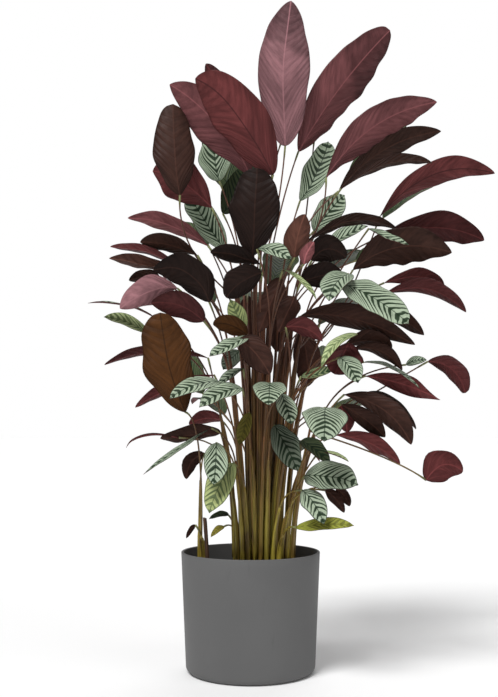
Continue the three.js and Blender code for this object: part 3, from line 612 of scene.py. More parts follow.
# Leafy stems as seen from the front, each a list of leaves. A place is across, up and the depth
# behind the planter's axis, in mm. Where a leaf faces is the heading and the rise of its green
# upper side, with 0 towards the eye and 90 to the right. Some leaves have an outline other than
# oval, a twist of the blade towards its tip, a bend that the leaf stalk passes, a fork where the
# leaf stalks part, a foot where the stem enters the soil, or a shade from a share of the length.
LEAFY_STEMS = [
    # top
    [leaf((65, 985, 5), (63, 1130, 0), (76, 1258, 5), 95, (180, 0), "pink",
          bend=(52, 880, 10), shaded_from=0.62)],
    [leaf((90, 975, 35), (168, 1095, 45), (262, 1203, 60), 90, (200, 25), "mauve_brown",
          outline="strap", bend=(62, 885, 30), shaded_from=0.58)],
    [leaf((42, 931, -78), (-30, 1050, -102), (-104, 1112, -94), 92, (160, 20), "burgundy_red",
          foot=(14, 7)),
     leaf((20, 985, 15), (-40, 1070, 25), (-84, 1140, 30), 60, (165, 15), "dark_burgundy")],
    [leaf((1, 925, -42), (-60, 1024, -46), (-152, 1101, -48), 84, (170, 20), "mauve_red",
          outline="lance", foot=(8, -7))],
    # upper left
    [leaf((-133, 893, -60), (-143, 975, -62), (-146, 1064, -40), 80, (188, 8), "dark_brown",
          outline="strap", bend=(-110, 790, -50)),
     leaf((-73, 869, -20), (-128, 918, -15), (-184, 938, -5), 82, (170, 30), "red",
          outline="lance")],
    [leaf((-59, 919, 45), (-68, 965, 55), (-70, 1010, 60), 62, (0, 10), "silver"),
     leaf((-52, 858, 60), (-25, 905, 70), (-12, 950, 75), 50, (10, 10), "shaded_green")],
    [leaf((3, 778, -92), (8, 862, -98), (12, 944, -88), 84, (180, 5), "black_brown",
          outline="strap", bend=(2, 700, -45))],
    [leaf((-46, 786, 15), (-84, 842, 20), (-116, 892, 35), 56, (10, 10), "silver",
          outline="strap"),
     leaf((-80, 797, -20), (-150, 836, -35), (-231, 850, -50), 40, (190, 50), "red_pink",
          outline="lance")],
    [leaf((-100, 780, -75), (-156, 800, -95), (-208, 805, -110), 42, (200, 50), "dark_brown",
          outline="lance"),
     leaf((-130, 760, -80), (-200, 787, -90), (-264, 796, -95), 36, (180, 75), "red",
          outline="lance"),
     leaf((-130, 748, -60), (-200, 764, -72), (-266, 774, -80), 38, (180, 60), "grey_brown",
          outline="lance")],
    # upper right
    [leaf((93, 882, 40), (125, 935, 50), (146, 994, 60), 54, (345, 5), "silver",
          outline="strap"),
     leaf((119, 825, 35), (150, 865, 45), (177, 893, 50), 50, (10, 15), "silver")],
    [leaf((142, 926, -15), (232, 1022, -20), (350, 1068, -30), 64, (190, 30), "mauve_red",
          outline="lance", bend=(125, 830, -10)),
     leaf((165, 900, 15), (250, 978, 28), (358, 1013, 32), 50, (190, 45), "dark_brown",
          outline="lance")],
    [leaf((170, 905, -45), (262, 954, -60), (341, 953, -70), 40, (180, 78), "dark_brown",
          outline="lance"),
     leaf((140, 793, -30), (180, 817, -35), (221, 835, -38), 46, (0, 55), "silver")],
    [leaf((243, 853, -5), (345, 932, -8), (459, 934, -15), 52, (185, 42), "burgundy_red",
          outline="lance", bend=(150, 640, 0)),
     leaf((248, 815, -35), (350, 832, -55), (439, 808, -75), 62, (175, 45), "dark_red",
          outline="lance")],
    [leaf((102, 803, -62), (191, 845, -75), (275, 829, -80), 38, (180, 72), "dark_brown",
          outline="lance")],
    [leaf((192, 752, -70), (276, 795, -95), (378, 785, -120), 70, (185, 35), "dark_brown",
          outline="lance", bend=(128, 650, -12)),
     leaf((222, 830, -105), (262, 811, -118), (298, 799, -128), 28, (20, 50), "silver",
          bend=(150, 720, -30))],
    # right
    [leaf((167, 727, -119), (228, 702, -142), (298, 650, -160), 74, (20, 35), "silver",
          outline="strap"),
     leaf((185, 745, -112), (160, 727, -140), (147, 694, -158), 56, (345, 45), "silver")],
    [leaf((251, 728, -65), (316, 740, -80), (364, 722, -90), 38, (180, 50), "red",
          outline="lance"),
     leaf((253, 708, -85), (335, 716, -110), (405, 673, -130), 42, (185, 55), "dark_red",
          outline="lance"),
     leaf((205, 688, -50), (264, 672, -68), (326, 630, -85), 44, (180, 50), "dark_brown",
          outline="lance")],
    [leaf((92, 665, -72), (188, 662, -88), (309, 612, -118), 54, (180, 45), "dark_brown",
          outline="lance")],
    [leaf((175, 610, -70), (225, 620, -86), (266, 606, -96), 46, (180, 50), "dark_brown",
          outline="lance"),
     leaf((190, 604, -90), (245, 600, -105), (285, 564, -120), 32, (185, 50), "dark_brown",
          outline="lance"),
     leaf((185, 616, -102), (172, 588, -122), (158, 556, -132), 72, (150, 20), "dark_red")],
    [leaf((66, 645, -100), (105, 642, -115), (135, 618, -122), 38, (180, 40), "shaded_silver"),
     leaf((95, 552, -75), (128, 557, -88), (158, 566, -96), 34, (0, 50), "silver_green"),
     leaf((200, 632, -136), (158, 612, -145), (133, 568, -155), 24, (330, 50), "pale_green"),
     leaf((168, 588, -140), (188, 566, -158), (202, 540, -168), 42, (10, 25), "silver"),
     leaf((213, 579, -100), (270, 566, -110), (320, 526, -118), 26, (0, 75), "silver")],
    [leaf((333, 580, -60), (378, 566, -78), (404, 521, -95), 42, (170, 40), "dark_red",
          outline="strap", bend=(230, 520, -50)),
     leaf((292, 574, -55), (312, 582, -60), (331, 583, -62), 18, (0, 30), "silver"),
     leaf((216, 553, -75), (285, 538, -90), (356, 508, -100), 36, (180, 40), "red",
          outline="lance", twist=-110)],
    [leaf((176, 518, -95), (252, 488, -120), (302, 424, -140), 52, (180, 35), "dark_brown",
          outline="lance"),
     leaf((170, 500, -80), (215, 472, -95), (253, 438, -105), 40, (180, 40), "dark_brown",
          outline="lance"),
     leaf((215, 520, -60), (268, 502, -70), (311, 453, -80), 30, (180, 65), "dark_brown"),
     leaf((168, 500, -60), (178, 472, -66), (181, 447, -70), 32, (180, 20), "red"),
     leaf((160, 442, -85), (224, 427, -105), (281, 388, -120), 42, (180, 50), "red",
          outline="lance")],
    [leaf((330, 357, -85), (362, 386, -115), (399, 374, -150), 56, (170, 12), "red",
          outline="heart", bend=(245, 402, -70), fork=(112, 455, -20))],
    # front right
    [leaf((140, 493, -150), (139, 470, -200), (138, 430, -235), 72, (0, 50), "silver",
          outline="heart")],
    [leaf((36, 540, -125), (35, 525, -175), (33, 498, -210), 58, (0, 55), "silver",
          outline="heart"),
     leaf((57, 520, -120), (68, 492, -150), (76, 462, -165), 36, (10, 35), "silver")],
    [leaf((45, 460, -115), (68, 418, -140), (89, 374, -150), 50, (350, 25), "shaded_silver")],
    [leaf((102, 365, -110), (150, 364, -145), (202, 348, -175), 60, (10, 25), "silver"),
     leaf((140, 338, -95), (160, 322, -105), (176, 296, -112), 22, (180, 30), "dark_brown"),
     leaf((160, 342, -80), (176, 328, -90), (186, 308, -98), 20, (180, 30), "dark_brown"),
     leaf((130, 412, -65), (160, 404, -75), (184, 392, -80), 20, (0, 75), "pale_green"),
     leaf((95, 432, -62), (118, 417, -75), (150, 387, -85), 42, (20, 40), "shaded_green")],
    [leaf((97, 338, -125), (120, 312, -150), (138, 274, -165), 38, (0, 35), "silver")],
    [leaf((85, 268, -105), (140, 274, -135), (194, 272, -150), 30, (10, 40), "yellow_green")],
    # left
    [leaf((-78, 692, -110), (-118, 747, -128), (-183, 752, -145), 60, (190, 40), "black_brown"),
     leaf((-138, 718, -90), (-187, 713, -105), (-246, 680, -118), 56, (170, 30), "pale_pink",
          outline="lance"),
     leaf((-170, 735, -55), (-200, 739, -62), (-229, 733, -68), 34, (190, 50), "dark_brown"),
     leaf((-88, 656, -90), (-135, 686, -105), (-187, 690, -118), 50, (180, 35),
          "dark_burgundy")],
    [leaf((-182, 664, -60), (-240, 686, -75), (-306, 690, -85), 26, (0, 80), "silver"),
     leaf((-190, 632, -40), (-235, 655, -55), (-276, 664, -65), 32, (0, 40), "pale_green"),
     leaf((-80, 587, -40), (-180, 597, -60), (-275, 574, -75), 36, (180, 60), "dark_red",
          outline="lance")],
    [leaf((-123, 485, -130), (-155, 580, -135), (-170, 672, -125), 86, (185, -5), "olive",
          outline="strap", bend=(-98, 420, -70), foot=(-86, -18)),
     leaf((-104, 273, -35), (-112, 264, -38), (-121, 248, -40), 12, (180, 50), "dark_brown")],
    [leaf((-69, 555, -60), (-150, 530, -75), (-217, 494, -85), 36, (180, 55), "red",
          outline="lance"),
     leaf((-55, 470, 30), (-85, 474, 38), (-116, 462, 42), 34, (180, 40), "red")],
    [leaf((-88, 408, -25), (-112, 390, -32), (-121, 359, -38), 30, (180, 30), "dark_brown",
          foot=(-97, 14))],
    [leaf((-56, 447, -45), (-110, 441, -62), (-170, 436, -75), 42, (180, 40), "dark_brown"),
     leaf((-135, 437, -70), (-200, 441, -82), (-234, 418, -92), 9, (180, 60), "pale_green")],
    [leaf((-74, 455, -100), (-135, 417, -118), (-202, 368, -130), 18, (0, 70), "silver",
          outline="lance")],
    # front left
    [leaf((-58, 542, -110), (-106, 536, -145), (-153, 510, -165), 46, (345, 45), "silver"),
     leaf((-16, 530, -125), (-58, 520, -155), (-97, 494, -175), 40, (0, 45), "silver"),
     leaf((-14, 567, -98), (-38, 554, -106), (-62, 535, -116), 24, (340, 40), "silver",
          outline="lance"),
     leaf((-3, 484, -80), (-12, 455, -95), (-22, 423, -100), 26, (350, 20), "olive_yellow")],
    [leaf((-65, 427, -125), (-66, 388, -150), (-70, 348, -158), 44, (0, 30), "silver")],
    [leaf((-33, 389, -105), (-60, 345, -130), (-78, 295, -140), 48, (350, 30),
          "yellow_silver")],
    [leaf((-41, 291, 45), (-60, 291, 52), (-78, 284, 60), 22, (0, 60), "shaded_green"),
     leaf((-50, 270, -30), (-62, 264, -42), (-75, 250, -50), 14, (0, 40), "yellow")],
    # middle
    [leaf((18, 763, -95), (-30, 780, -110), (-76, 786, -118), 38, (190, 40), "black_brown",
          outline="lance"),
     leaf((21, 748, -115), (-20, 728, -130), (-46, 700, -138), 58, (180, 30), "black_brown")],
    [leaf((12, 791, -135), (45, 790, -147), (76, 771, -155), 32, (350, 40), "silver",
          outline="lance"),
     leaf((83, 776, -125), (88, 815, -130), (102, 857, -128), 46, (185, 10), "grey_brown"),
     leaf((100, 763, -150), (106, 785, -155), (119, 805, -158), 24, (180, 10), "red_pink"),
     leaf((60, 752, -135), (95, 732, -148), (124, 696, -155), 20, (10, 70), "pale_green")],
    [leaf((115, 770, -85), (145, 792, -98), (180, 775, -105), 50, (180, 30), "black_brown"),
     leaf((95, 730, -75), (135, 742, -88), (172, 746, -94), 50, (180, 30), "black_brown"),
     leaf((82, 702, -62), (72, 678, -74), (52, 635, -82), 38, (180, 20), "brown"),
     leaf((96, 640, 35), (106, 585, 39), (104, 532, 41), 50, (175, 8), "brown")],
    [leaf((56, 738, -46), (38, 690, -62), (15, 635, -74), 42, (180, 20), "brown"),
     leaf((50, 712, 32), (50, 655, 36), (50, 598, 36), 46, (185, 8), "brown")],
    [leaf((-7, 630, -85), (-40, 650, -102), (-71, 650, -112), 38, (190, 35), "olive"),
     leaf((-5, 628, -105), (-42, 609, -135), (-78, 590, -155), 38, (340, 45), "silver"),
     leaf((-12, 640, -70), (-25, 667, -70), (-38, 697, -75), 34, (350, 10), "yellow_silver"),
     leaf((-6, 705, 52), (-3, 645, 56), (0, 588, 56), 42, (185, 8), "brown"),
     leaf((-22, 622, -112), (10, 595, -118), (36, 556, -120), 50, (180, 25), "brown"),
     leaf((-20, 600, 8), (-36, 585, 2), (-52, 565, -2), 36, (0, 40), "shaded_silver")],
    # back
    [leaf((0, 800, 120), (5, 880, 160), (0, 960, 180), 72, (0, 15), "green"),
     leaf((-40, 900, 110), (-60, 985, 150), (-75, 1062, 165), 76, (10, 15), "green"),
     leaf((60, 1000, 60), (66, 1085, 100), (72, 1180, 120), 80, (350, 10), "green")],
    [leaf((120, 1000, 90), (168, 1072, 130), (218, 1140, 150), 66, (330, 30), "green"),
     leaf((190, 925, 95), (245, 992, 140), (305, 1040, 165), 64, (320, 35), "green"),
     leaf((250, 850, 85), (325, 905, 130), (405, 928, 155), 56, (320, 45), "green")],
    [leaf((200, 770, 95), (285, 812, 150), (372, 822, 185), 62, (320, 50), "green"),
     leaf((120, 740, 120), (172, 768, 190), (212, 790, 250), 72, (0, 65), "green"),
     leaf((40, 720, 140), (58, 770, 225), (68, 782, 305), 80, (0, 65), "green")],
    [leaf((-80, 800, 95), (-132, 832, 150), (-182, 832, 195), 54, (20, 55), "green"),
     leaf((-70, 690, 115), (-122, 738, 190), (-160, 735, 250), 74, (20, 60), "green"),
     leaf((0, 650, 130), (8, 702, 215), (15, 705, 290), 76, (0, 65), "green")],
    [leaf((130, 650, 110), (202, 690, 185), (270, 682, 235), 70, (330, 60), "green"),
     leaf((120, 560, 120), (160, 602, 205), (182, 592, 262), 62, (340, 60), "green"),
     leaf((150, 480, 100), (212, 502, 165), (272, 482, 215), 54, (330, 60), "green")],
    [leaf((-90, 520, 90), (-140, 582, 150), (-162, 625, 190), 80, (20, 30), "green"),
     leaf((-50, 480, 115), (-82, 512, 190), (-110, 500, 245), 52, (10, 60), "green"),
     leaf((10, 460, 130), (20, 482, 210), (26, 442, 265), 56, (0, 60), "green"),
     leaf((70, 400, 120), (100, 422, 190), (130, 392, 235), 54, (350, 60), "green")],
]


def paint_value(red, green, blue):
    """A colour as the shaders take it, from red, green and blue between 0 and 255."""
    shares = [part / 255 for part in (red, green, blue)]
    return tuple(share / 12.92 if share <= 0.04045 else ((share + 0.055) / 1.055) ** 2.4
                 for share in shares)


def seen_from_front(spot):
    """The place in mm that lies at a depth behind the planter's axis and shows at that spot."""
    across, up, depth = spot
    spread = (EYE_DISTANCE + depth) / EYE_DISTANCE
    return np.array((across * spread, depth, EYE_HEIGHT + (up - EYE_HEIGHT) * spread))


def unit(direction):
    return direction / np.linalg.norm(direction)


def squared(normal, direction):
    """A normal turned square to a direction."""
    return unit(normal - direction * np.dot(normal, direction))


def curve_with_pull(start, pull, end, shares):
    """Points on a quadratic curve at shares of its length."""
    share = np.asarray(shares)[:, None]
    return (1 - share) ** 2 * start + 2 * share * (1 - share) * pull + share ** 2 * end


def pull_through(start, halfway, end):
    """The pull that makes a curve pass a place half-way."""
    return 2 * halfway - 0.5 * start - 0.5 * end


def directions_along(path):
    steps = np.diff(path, axis=0)
    steps /= np.linalg.norm(steps, axis=1)[:, None]
    arriving = np.vstack((steps[:1], steps))
    leaving = np.vstack((steps, steps[-1:]))
    mean = arriving + leaving
    return mean / np.linalg.norm(mean, axis=1)[:, None]


POINT_VALUES = ("across", "vein", "from_rib", "from_margin", "in_shade", "leaf_chance")
POINT_COLOURS = ("under_ground", "under_rib", "upper_ground", "upper_band", "stalk_colour")
STALK_SKIN, UPPER_SKIN, UNDER_SKIN = 0, 1, 2
LEAF_GLOSS = 0.1
BAND_HALF_SHARE = 0.22
PLEATS_TO_A_VEIN = 0.7


class GrownMesh:
    """The points, faces and surface values of one stem with its leaves, as they are added."""

    def __init__(self):
        self.points = []
        self.faces = []
        self.materials = []
        self.values = {name: [] for name in POINT_VALUES}
        self.colours = {name: [] for name in POINT_COLOURS}

    def add_points(self, points, **given):
        first = len(self.points)
        self.points.extend(map(tuple, points))
        for name in POINT_VALUES:
            value = given.get(name, 0.0)
            self.values[name].extend(np.broadcast_to(value, len(points)))
        for name in POINT_COLOURS:
            colour = np.broadcast_to(given.get(name, (0.0, 0.0, 0.0)), (len(points), 3))
            self.colours[name].extend(map(tuple, colour))
        return first

    def add_faces(self, faces, material):
        self.faces.extend(faces)
        self.materials.extend([material] * len(faces))


def add_stalk(grown, path, radii, sides, colours, chance):
    """A round stalk closed at both ends, with a radius and a colour at each point of its path."""
    directions = directions_along(path)
    outward = np.array((1.0, 0.0, 0.0))
    rings = []
    for centre, direction, radius in zip(path, directions, radii):
        outward = squared(outward, direction)
        sideways = np.cross(direction, outward)
        turns = 2 * np.pi * np.arange(sides) / sides
        rings.append(centre + radius * (np.cos(turns)[:, None] * outward
                                        + np.sin(turns)[:, None] * sideways))
    first = grown.add_points(np.vstack(rings), leaf_chance=chance,
                             stalk_colour=np.repeat(np.array(colours), sides, axis=0))
    faces = []
    for ring in range(len(path) - 1):
        low, high = first + ring * sides, first + (ring + 1) * sides
        for side in range(sides):
            beside = (side + 1) % sides
            faces.append((low + side, low + beside, high + beside, high + side))
    last = first + (len(path) - 1) * sides
    faces.append(tuple(reversed(range(first, first + sides))))
    faces.append(tuple(range(last, last + sides)))
    grown.add_faces(faces, STALK_SKIN)


def half_width(leaf, along):
    """Half a blade's width at shares of its length; one showing its upper side has a narrow drip tip.
    """
    broadest, base, tip = OUTLINES[leaf.get("outline", "oval")]
    if leaf["look"] in UPPERSIDES:
        drip = DRIP_TIP_WIDTH * np.clip((1.0 - along) / (1.0 - DRIP_TIP_START), 0.0, 1.0)
        along = np.clip(along / DRIP_TIP_START, 0.0, 1.0)
    else:
        drip = 0.0
    towards_tip = along > broadest
    share = np.where(towards_tip, (1.0 - along) / (1.0 - broadest), along / broadest)
    curve = np.sin(np.pi / 2 * share) ** np.where(towards_tip, tip, base)
    curve = np.where(towards_tip, np.maximum(curve, drip), curve)
    return leaf["width"] / 2 * np.clip(curve, NARROWEST_SHARE, 1.0)


def swung(normal, axis, angle):
    """A direction turned about an axis square to it."""
    return normal * math.cos(angle) + np.cross(axis, normal) * math.sin(angle)


def stalk_colours(path, chance):
    """Colours along a stalk: olive yellow at the soil, dark brown above, reddish at the top."""
    up_stem = path[:, 2] - (PLANTER_HEIGHT - SOIL_BELOW_RIM)
    stops = [paint_value(*colour) for colour in STALK_COLOURS]
    plain = np.array([[np.interp(at, STALK_COLOUR_HEIGHTS, [stop[part] for stop in stops])
                       for part in range(3)] for at in up_stem])
    red = chance.uniform(0.0, STALK_MOST_RED)
    tone = chance.uniform(*STALK_TONES)
    return tone * (plain + red * (paint_value(*STALK_RED_BROWN) - plain))


def add_leaf(grown, leaf, fork, stem_direction, beside, chance):
    """One leaf: its stalk, beside the stem and then from the fork, the joint and the blade."""
    base, middle, tip = (seen_from_front(leaf[place]) for place in ("base", "middle", "tip"))
    start = fork - stem_direction * LEAF_STALK_SUNK
    reach = np.linalg.norm(base - start)
    pull = (pull_through(start, seen_from_front(leaf["bend"]), base) if "bend" in leaf
            else start + stem_direction * reach * LEAF_STALK_RISE)
    steps = max(FEWEST_STALK_STEPS, int(reach / STALK_STEP))
    stalk = np.vstack((beside, curve_with_pull(start, pull, base,
                                               np.linspace(0.0, 1.0, steps + 1))))
    to_blade = np.linalg.norm(stalk - base, axis=1)
    near_joint = np.clip((JOINT_LENGTH - to_blade) / JOINT_FADE, 0.0, 1.0)
    share = np.linspace(0.0, 1.0, len(stalk))
    radii = LEAF_STALK_RADIUS + (LEAF_STALK_TOP_RADIUS - LEAF_STALK_RADIUS) * share
    radii = radii + (JOINT_RADIUS - radii) * near_joint
    plain = stalk_colours(stalk, chance)
    joint = np.array(paint_value(*JOINT_COLOUR))
    colours = plain + near_joint[:, None] * (joint - plain)
    add_stalk(grown, stalk, radii, LEAF_STALK_SIDES, colours, chance.random())

    length = np.linalg.norm(middle - base) + np.linalg.norm(tip - middle)
    rows = int(min(MOST_ROWS, max(FEWEST_ROWS, length / ROW_LENGTH)))
    even = np.linspace(0.0, 1.0, rows + 1)
    along = even - ROWS_TO_ENDS * np.sin(2 * np.pi * even) / (2 * np.pi)
    spine = curve_with_pull(base, pull_through(base, middle, tip), tip, along)
    directions = directions_along(spine)
    heading, rise = (math.radians(angle) for angle in leaf["face"])
    normal = np.array((math.sin(heading) * math.cos(rise), -math.cos(heading) * math.cos(rise),
                       math.sin(rise)))
    normal = squared(normal, unit(tip - base))
    twist = math.radians(leaf.get("twist", 0.0))
    normals = []
    for direction, share in zip(directions, along):
        normal = squared(normal, direction)
        normals.append(swung(normal, direction, twist * share ** 2))
    normals = np.array(normals)
    lefts = np.cross(normals, directions)

    one_side = WIDE_COLUMNS if leaf["width"] >= NARROW_LEAF else NARROW_COLUMNS
    columns = np.array([-share for share in reversed(one_side[1:])] + list(one_side))
    half = half_width(leaf, along)
    roll = BLADE_CURL + chance.uniform(*CURL_CHANGES)
    angle = roll * columns
    ripples = [(chance.uniform(*RIPPLE_SHARES) * leaf["width"], chance.uniform(*lengths),
                (chance.uniform(*ANY_PHASE), chance.uniform(*ANY_PHASE)))
               for lengths in RIPPLE_LENGTHS]
    tucked = chance.uniform(*TUCKED_SHARES) * leaf["width"]
    uneven = [(chance.uniform(*UNEVEN_WAVES), chance.uniform(*ANY_PHASE)) for side in range(2)]
    sway = chance.uniform(-SWAY_SHARE, SWAY_SHARE) * length
    sway_waves, sway_start = chance.uniform(*SWAY_WAVES), chance.uniform(*ANY_PHASE)
    swaying = (np.sin(2 * np.pi * sway_waves * along + sway_start)
               * 4 * along * (1.0 - along))[:, None]
    spine = spine + sway * swaying * (SWAY_SIDEWAYS * lefts + normals)
    layers = {"upper": [], "under": []}
    for row in range(rows + 1):
        wavy = [UNEVEN_SHARE * math.sin(2 * math.pi * waves * along[row] + start)
                for waves, start in uneven]
        reach_out = half[row] / roll * (1.0 + np.where(columns > 0, wavy[0], wavy[1]))
        sideways = reach_out * np.sin(angle)
        lift = reach_out * (1 - np.cos(angle))
        surface_normal = (normals[row] * np.cos(angle)[:, None]
                          - lefts[row] * np.sin(angle)[:, None])
        at = along[row] * length
        calm = min(1.0, CALM_ENDS * along[row] * (1.0 - along[row]))
        ripple = 0.0
        for depth, ripple_length, starts in ripples:
            phase = np.where(columns > 0, starts[0], starts[1])
            ripple = ripple + depth * np.sin(2 * np.pi * at / ripple_length + phase)
        ripple = calm * (np.abs(columns) ** RIPPLE_GROWTH * ripple
                         - tucked * np.abs(columns) ** TUCK_GROWTH)
        middle_line = (spine[row] + lefts[row] * sideways[:, None]
                       + normals[row] * lift[:, None] + surface_normal * ripple[:, None])
        rib = np.exp(-(columns * half[row] / RIB_WIDTH) ** 2) * (1.0 - RIB_THINNING * along[row])
        layers["upper"].append(middle_line + surface_normal
                               * (BLADE_HALF_THICKNESS - RIB_GROOVE * rib)[:, None])
        layers["under"].append(middle_line - surface_normal
                               * (BLADE_HALF_THICKNESS + RIB_BENEATH * rib)[:, None])
    wide = np.tile(half[:, None], (1, len(columns)))
    from_rib = np.abs(columns)[None, :] * wide
    veins = min(MOST_VEINS, max(FEWEST_VEINS, length / VEIN_SPACING))
    vein_reach = VEIN_REACH * leaf["width"] / 2 / length
    vein_reach = min(VEIN_REACH_LIMITS[1], max(VEIN_REACH_LIMITS[0], vein_reach))
    carried = vein_reach * np.abs(columns)[None, :] ** VEIN_SWEEP
    vein = veins * (along[:, None] - carried) / (1.0 - carried)
    look = leaf["look"]
    under = UNDERSIDES[look if look in UNDERSIDES else USUAL_UNDERSIDE]
    upper = UPPERSIDES[look if look in UPPERSIDES else USUAL_UPPERSIDE]
    shade_edge = leaf.get("shaded_from", PAST_THE_TIP) - SHADE_SLANT * columns[None, :]
    in_shade = np.clip((along[:, None] - shade_edge) / SHADE_BLUR, 0.0, 1.0)
    given = dict(
        in_shade=in_shade.ravel(),
        across=np.tile(columns, rows + 1),
        vein=vein.ravel(),
        from_rib=from_rib.ravel(),
        from_margin=(wide - from_rib).ravel(),
        leaf_chance=chance.random(),
        under_ground=paint_value(*under[0]), under_rib=paint_value(*under[1]),
        upper_ground=paint_value(*upper[0]), upper_band=paint_value(*upper[1]))
    top = grown.add_points(np.vstack(layers["upper"]), **given)
    bottom = grown.add_points(np.vstack(layers["under"]), **given)
    across_count = len(columns)
    upper_faces, under_faces, edge_faces = [], [], []
    for row in range(rows):
        for column in range(across_count - 1):
            here = row * across_count + column
            beyond = here + across_count
            upper_faces.append((top + here, top + beyond, top + beyond + 1, top + here + 1))
            under_faces.append((bottom + here, bottom + here + 1, bottom + beyond + 1,
                                bottom + beyond))
        for column, turned in ((0, True), (across_count - 1, False)):
            here = row * across_count + column
            beyond = here + across_count
            strip = (top + here, top + beyond, bottom + beyond, bottom + here)
            edge_faces.append(tuple(reversed(strip)) if turned else strip)
    for row, turned in ((0, True), (rows, False)):
        for column in range(across_count - 1):
            here = row * across_count + column
            strip = (top + here, bottom + here, bottom + here + 1, top + here + 1)
            edge_faces.append(tuple(reversed(strip)) if turned else strip)
    grown.add_faces(upper_faces, UPPER_SKIN)
    grown.add_faces(under_faces, UNDER_SKIN)
    grown.add_faces(edge_faces, UNDER_SKIN)


def grown_value(tree, name):
    return add_node(tree, "ShaderNodeAttribute", attribute_name=name).outputs["Fac"]


def grown_colour(tree, name):
    return add_node(tree, "ShaderNodeAttribute", attribute_name=name).outputs["Color"]


def off_the_line(tree, phase):
    """How far a phase is from the nearest whole number, from 0 on it to 1 half-way between."""
    from_whole = reckon(tree, "PINGPONG", phase, 0.5)
    return reckon(tree, "MULTIPLY", from_whole, 2.0)


def shade_by(tree, colour, factor):
    """A colour made darker or lighter by a factor."""
    node = add_node(tree, "ShaderNodeVectorMath", operation="SCALE")
    feed(tree, node.inputs[0], colour)
    feed(tree, node.inputs["Scale"], factor)
    return node.outputs["Vector"]


def leaf_coordinates(tree):
    """Coordinates that follow the veins: vein number, share across, and chance by leaf."""
    node = add_node(tree, "ShaderNodeCombineXYZ")
    feed(tree, node.inputs["X"], grown_value(tree, "vein"))
    feed(tree, node.inputs["Y"], grown_value(tree, "across"))
    feed(tree, node.inputs["Z"], reckon(tree, "MULTIPLY", grown_value(tree, "leaf_chance"), 40.0))
    return node.outputs["Vector"]


under_skin, tree, shader = name_material("wine_red_underside")
vein = grown_value(tree, "vein")
from_rib = grown_value(tree, "from_rib")
from_margin = grown_value(tree, "from_margin")
pleat = off_the_line(tree, reckon(tree, "MULTIPLY", vein, PLEATS_TO_A_VEIN))
patches = mottle(tree, 1.3, detail=3.0, stretch=(1.0, 2.0, 1.0),
                 coordinates=leaf_coordinates(tree))
fine_grain = mottle(tree, 900.0, detail=2.0)
ground = shade_by(tree, grown_colour(tree, "under_ground"),
                  spread_out(tree, patches, 0.3, 0.7, 0.82, 1.14))
# Darker in the grooves of the pleats: painted shade.
ground = shade_by(tree, ground, spread_out(tree, pleat, 0.0, 1.0, 0.94, 1.04))
ground = shade_by(tree, ground, spread_out(tree, grown_value(tree, "in_shade"), 0.0, 1.0,
                                           1.0, 0.55))
broad = mottle(tree, 0.55, detail=1.0, stretch=(0.5, 1.0, 1.0),
               coordinates=leaf_coordinates(tree))
ground = shade_by(tree, ground, spread_out(tree, broad, 0.35, 0.65, 0.78, 1.12))
# Darker towards the margins: painted shade on the curled edges of the blade.
ground = shade_by(tree, ground, spread_out(tree, from_margin, 0.0, 16.0, 0.82, 1.0))
ground = shade_by(tree, ground, spread_out(tree, fine_grain, 0.3, 0.7, 0.95, 1.05))
rib_line = spread_out(tree, from_rib, 0.5, 1.7, 0.85, 0.0)
ground = blend(tree, rib_line, ground, grown_colour(tree, "under_rib"))
vein_line = reckon(tree, "MULTIPLY", spread_out(tree, pleat, 0.0, 0.08, 0.22, 0.0),
                   spread_out(tree, from_margin, 0.0, 14.0, 0.1, 1.0))
vein_line = reckon(tree, "MULTIPLY", vein_line, spread_out(tree, patches, 0.35, 0.6, 0.25, 1.0))
ground = blend(tree, vein_line, ground, grown_colour(tree, "under_rib"))
edge_line = spread_out(tree, from_margin, 0.3, 1.4, 0.5, 0.0)
ground = blend(tree, edge_line, ground, shade_by(tree, grown_colour(tree, "under_ground"), 0.45))
tree.links.new(ground, shader.inputs["Base Color"])
tree.links.new(spread_out(tree, patches, 0.3, 0.7, 0.58, 0.46), shader.inputs["Roughness"])
shader.inputs["Specular IOR Level"].default_value = LEAF_GLOSS
relief = reckon(tree, "ADD", reckon(tree, "POWER", pleat, 0.7),
                reckon(tree, "MULTIPLY", patches, 0.8))
roughen(tree, shader, relief, 0.0014, 0.55)

upper_skin, tree, shader = name_material("silver_green_upper_side")
vein = grown_value(tree, "vein")
across = reckon(tree, "ABSOLUTE", grown_value(tree, "across"))
from_rib = grown_value(tree, "from_rib")
from_margin = grown_value(tree, "from_margin")
wander = mottle(tree, 1.1, detail=2.0, coordinates=leaf_coordinates(tree))
wandered = reckon(tree, "ADD", vein, spread_out(tree, wander, 0.3, 0.7, -0.16, 0.16))
past_band = reckon(tree, "SUBTRACT", reckon(tree, "FRACT", wandered), 0.5)
from_band = reckon(tree, "ABSOLUTE", past_band)
band_half = reckon(tree, "MULTIPLY", BAND_HALF_SHARE,
                   reckon(tree, "SUBTRACT", 1.0, reckon(tree, "POWER", across, 4.0)))
band_half = reckon(tree, "ADD", band_half, 0.02)
band = spread_out(tree, reckon(tree, "SUBTRACT", band_half, from_band), -0.05, 0.04)
flank = spread_out(tree, past_band, 0.02, 0.34, 0.38, 0.0)
flank = reckon(tree, "MULTIPLY", flank, spread_out(tree, past_band, -0.05, 0.0))
faint_line = spread_out(tree, from_band, 0.47, 0.5, 0.0, 0.35)
patches = mottle(tree, 1.8, detail=3.0, coordinates=leaf_coordinates(tree))
fine_grain = mottle(tree, 900.0, detail=2.0)
silver = shade_by(tree, grown_colour(tree, "upper_ground"),
                  spread_out(tree, patches, 0.3, 0.7, 0.86, 1.12))
silver = shade_by(tree, silver, spread_out(tree, across, 0.0, 1.0, 0.94, 1.06))
green = shade_by(tree, grown_colour(tree, "upper_band"),
                 spread_out(tree, patches, 0.3, 0.7, 0.8, 1.2))
leaf_green = blend(tree, reckon(tree, "ADD", flank, faint_line), silver, green)
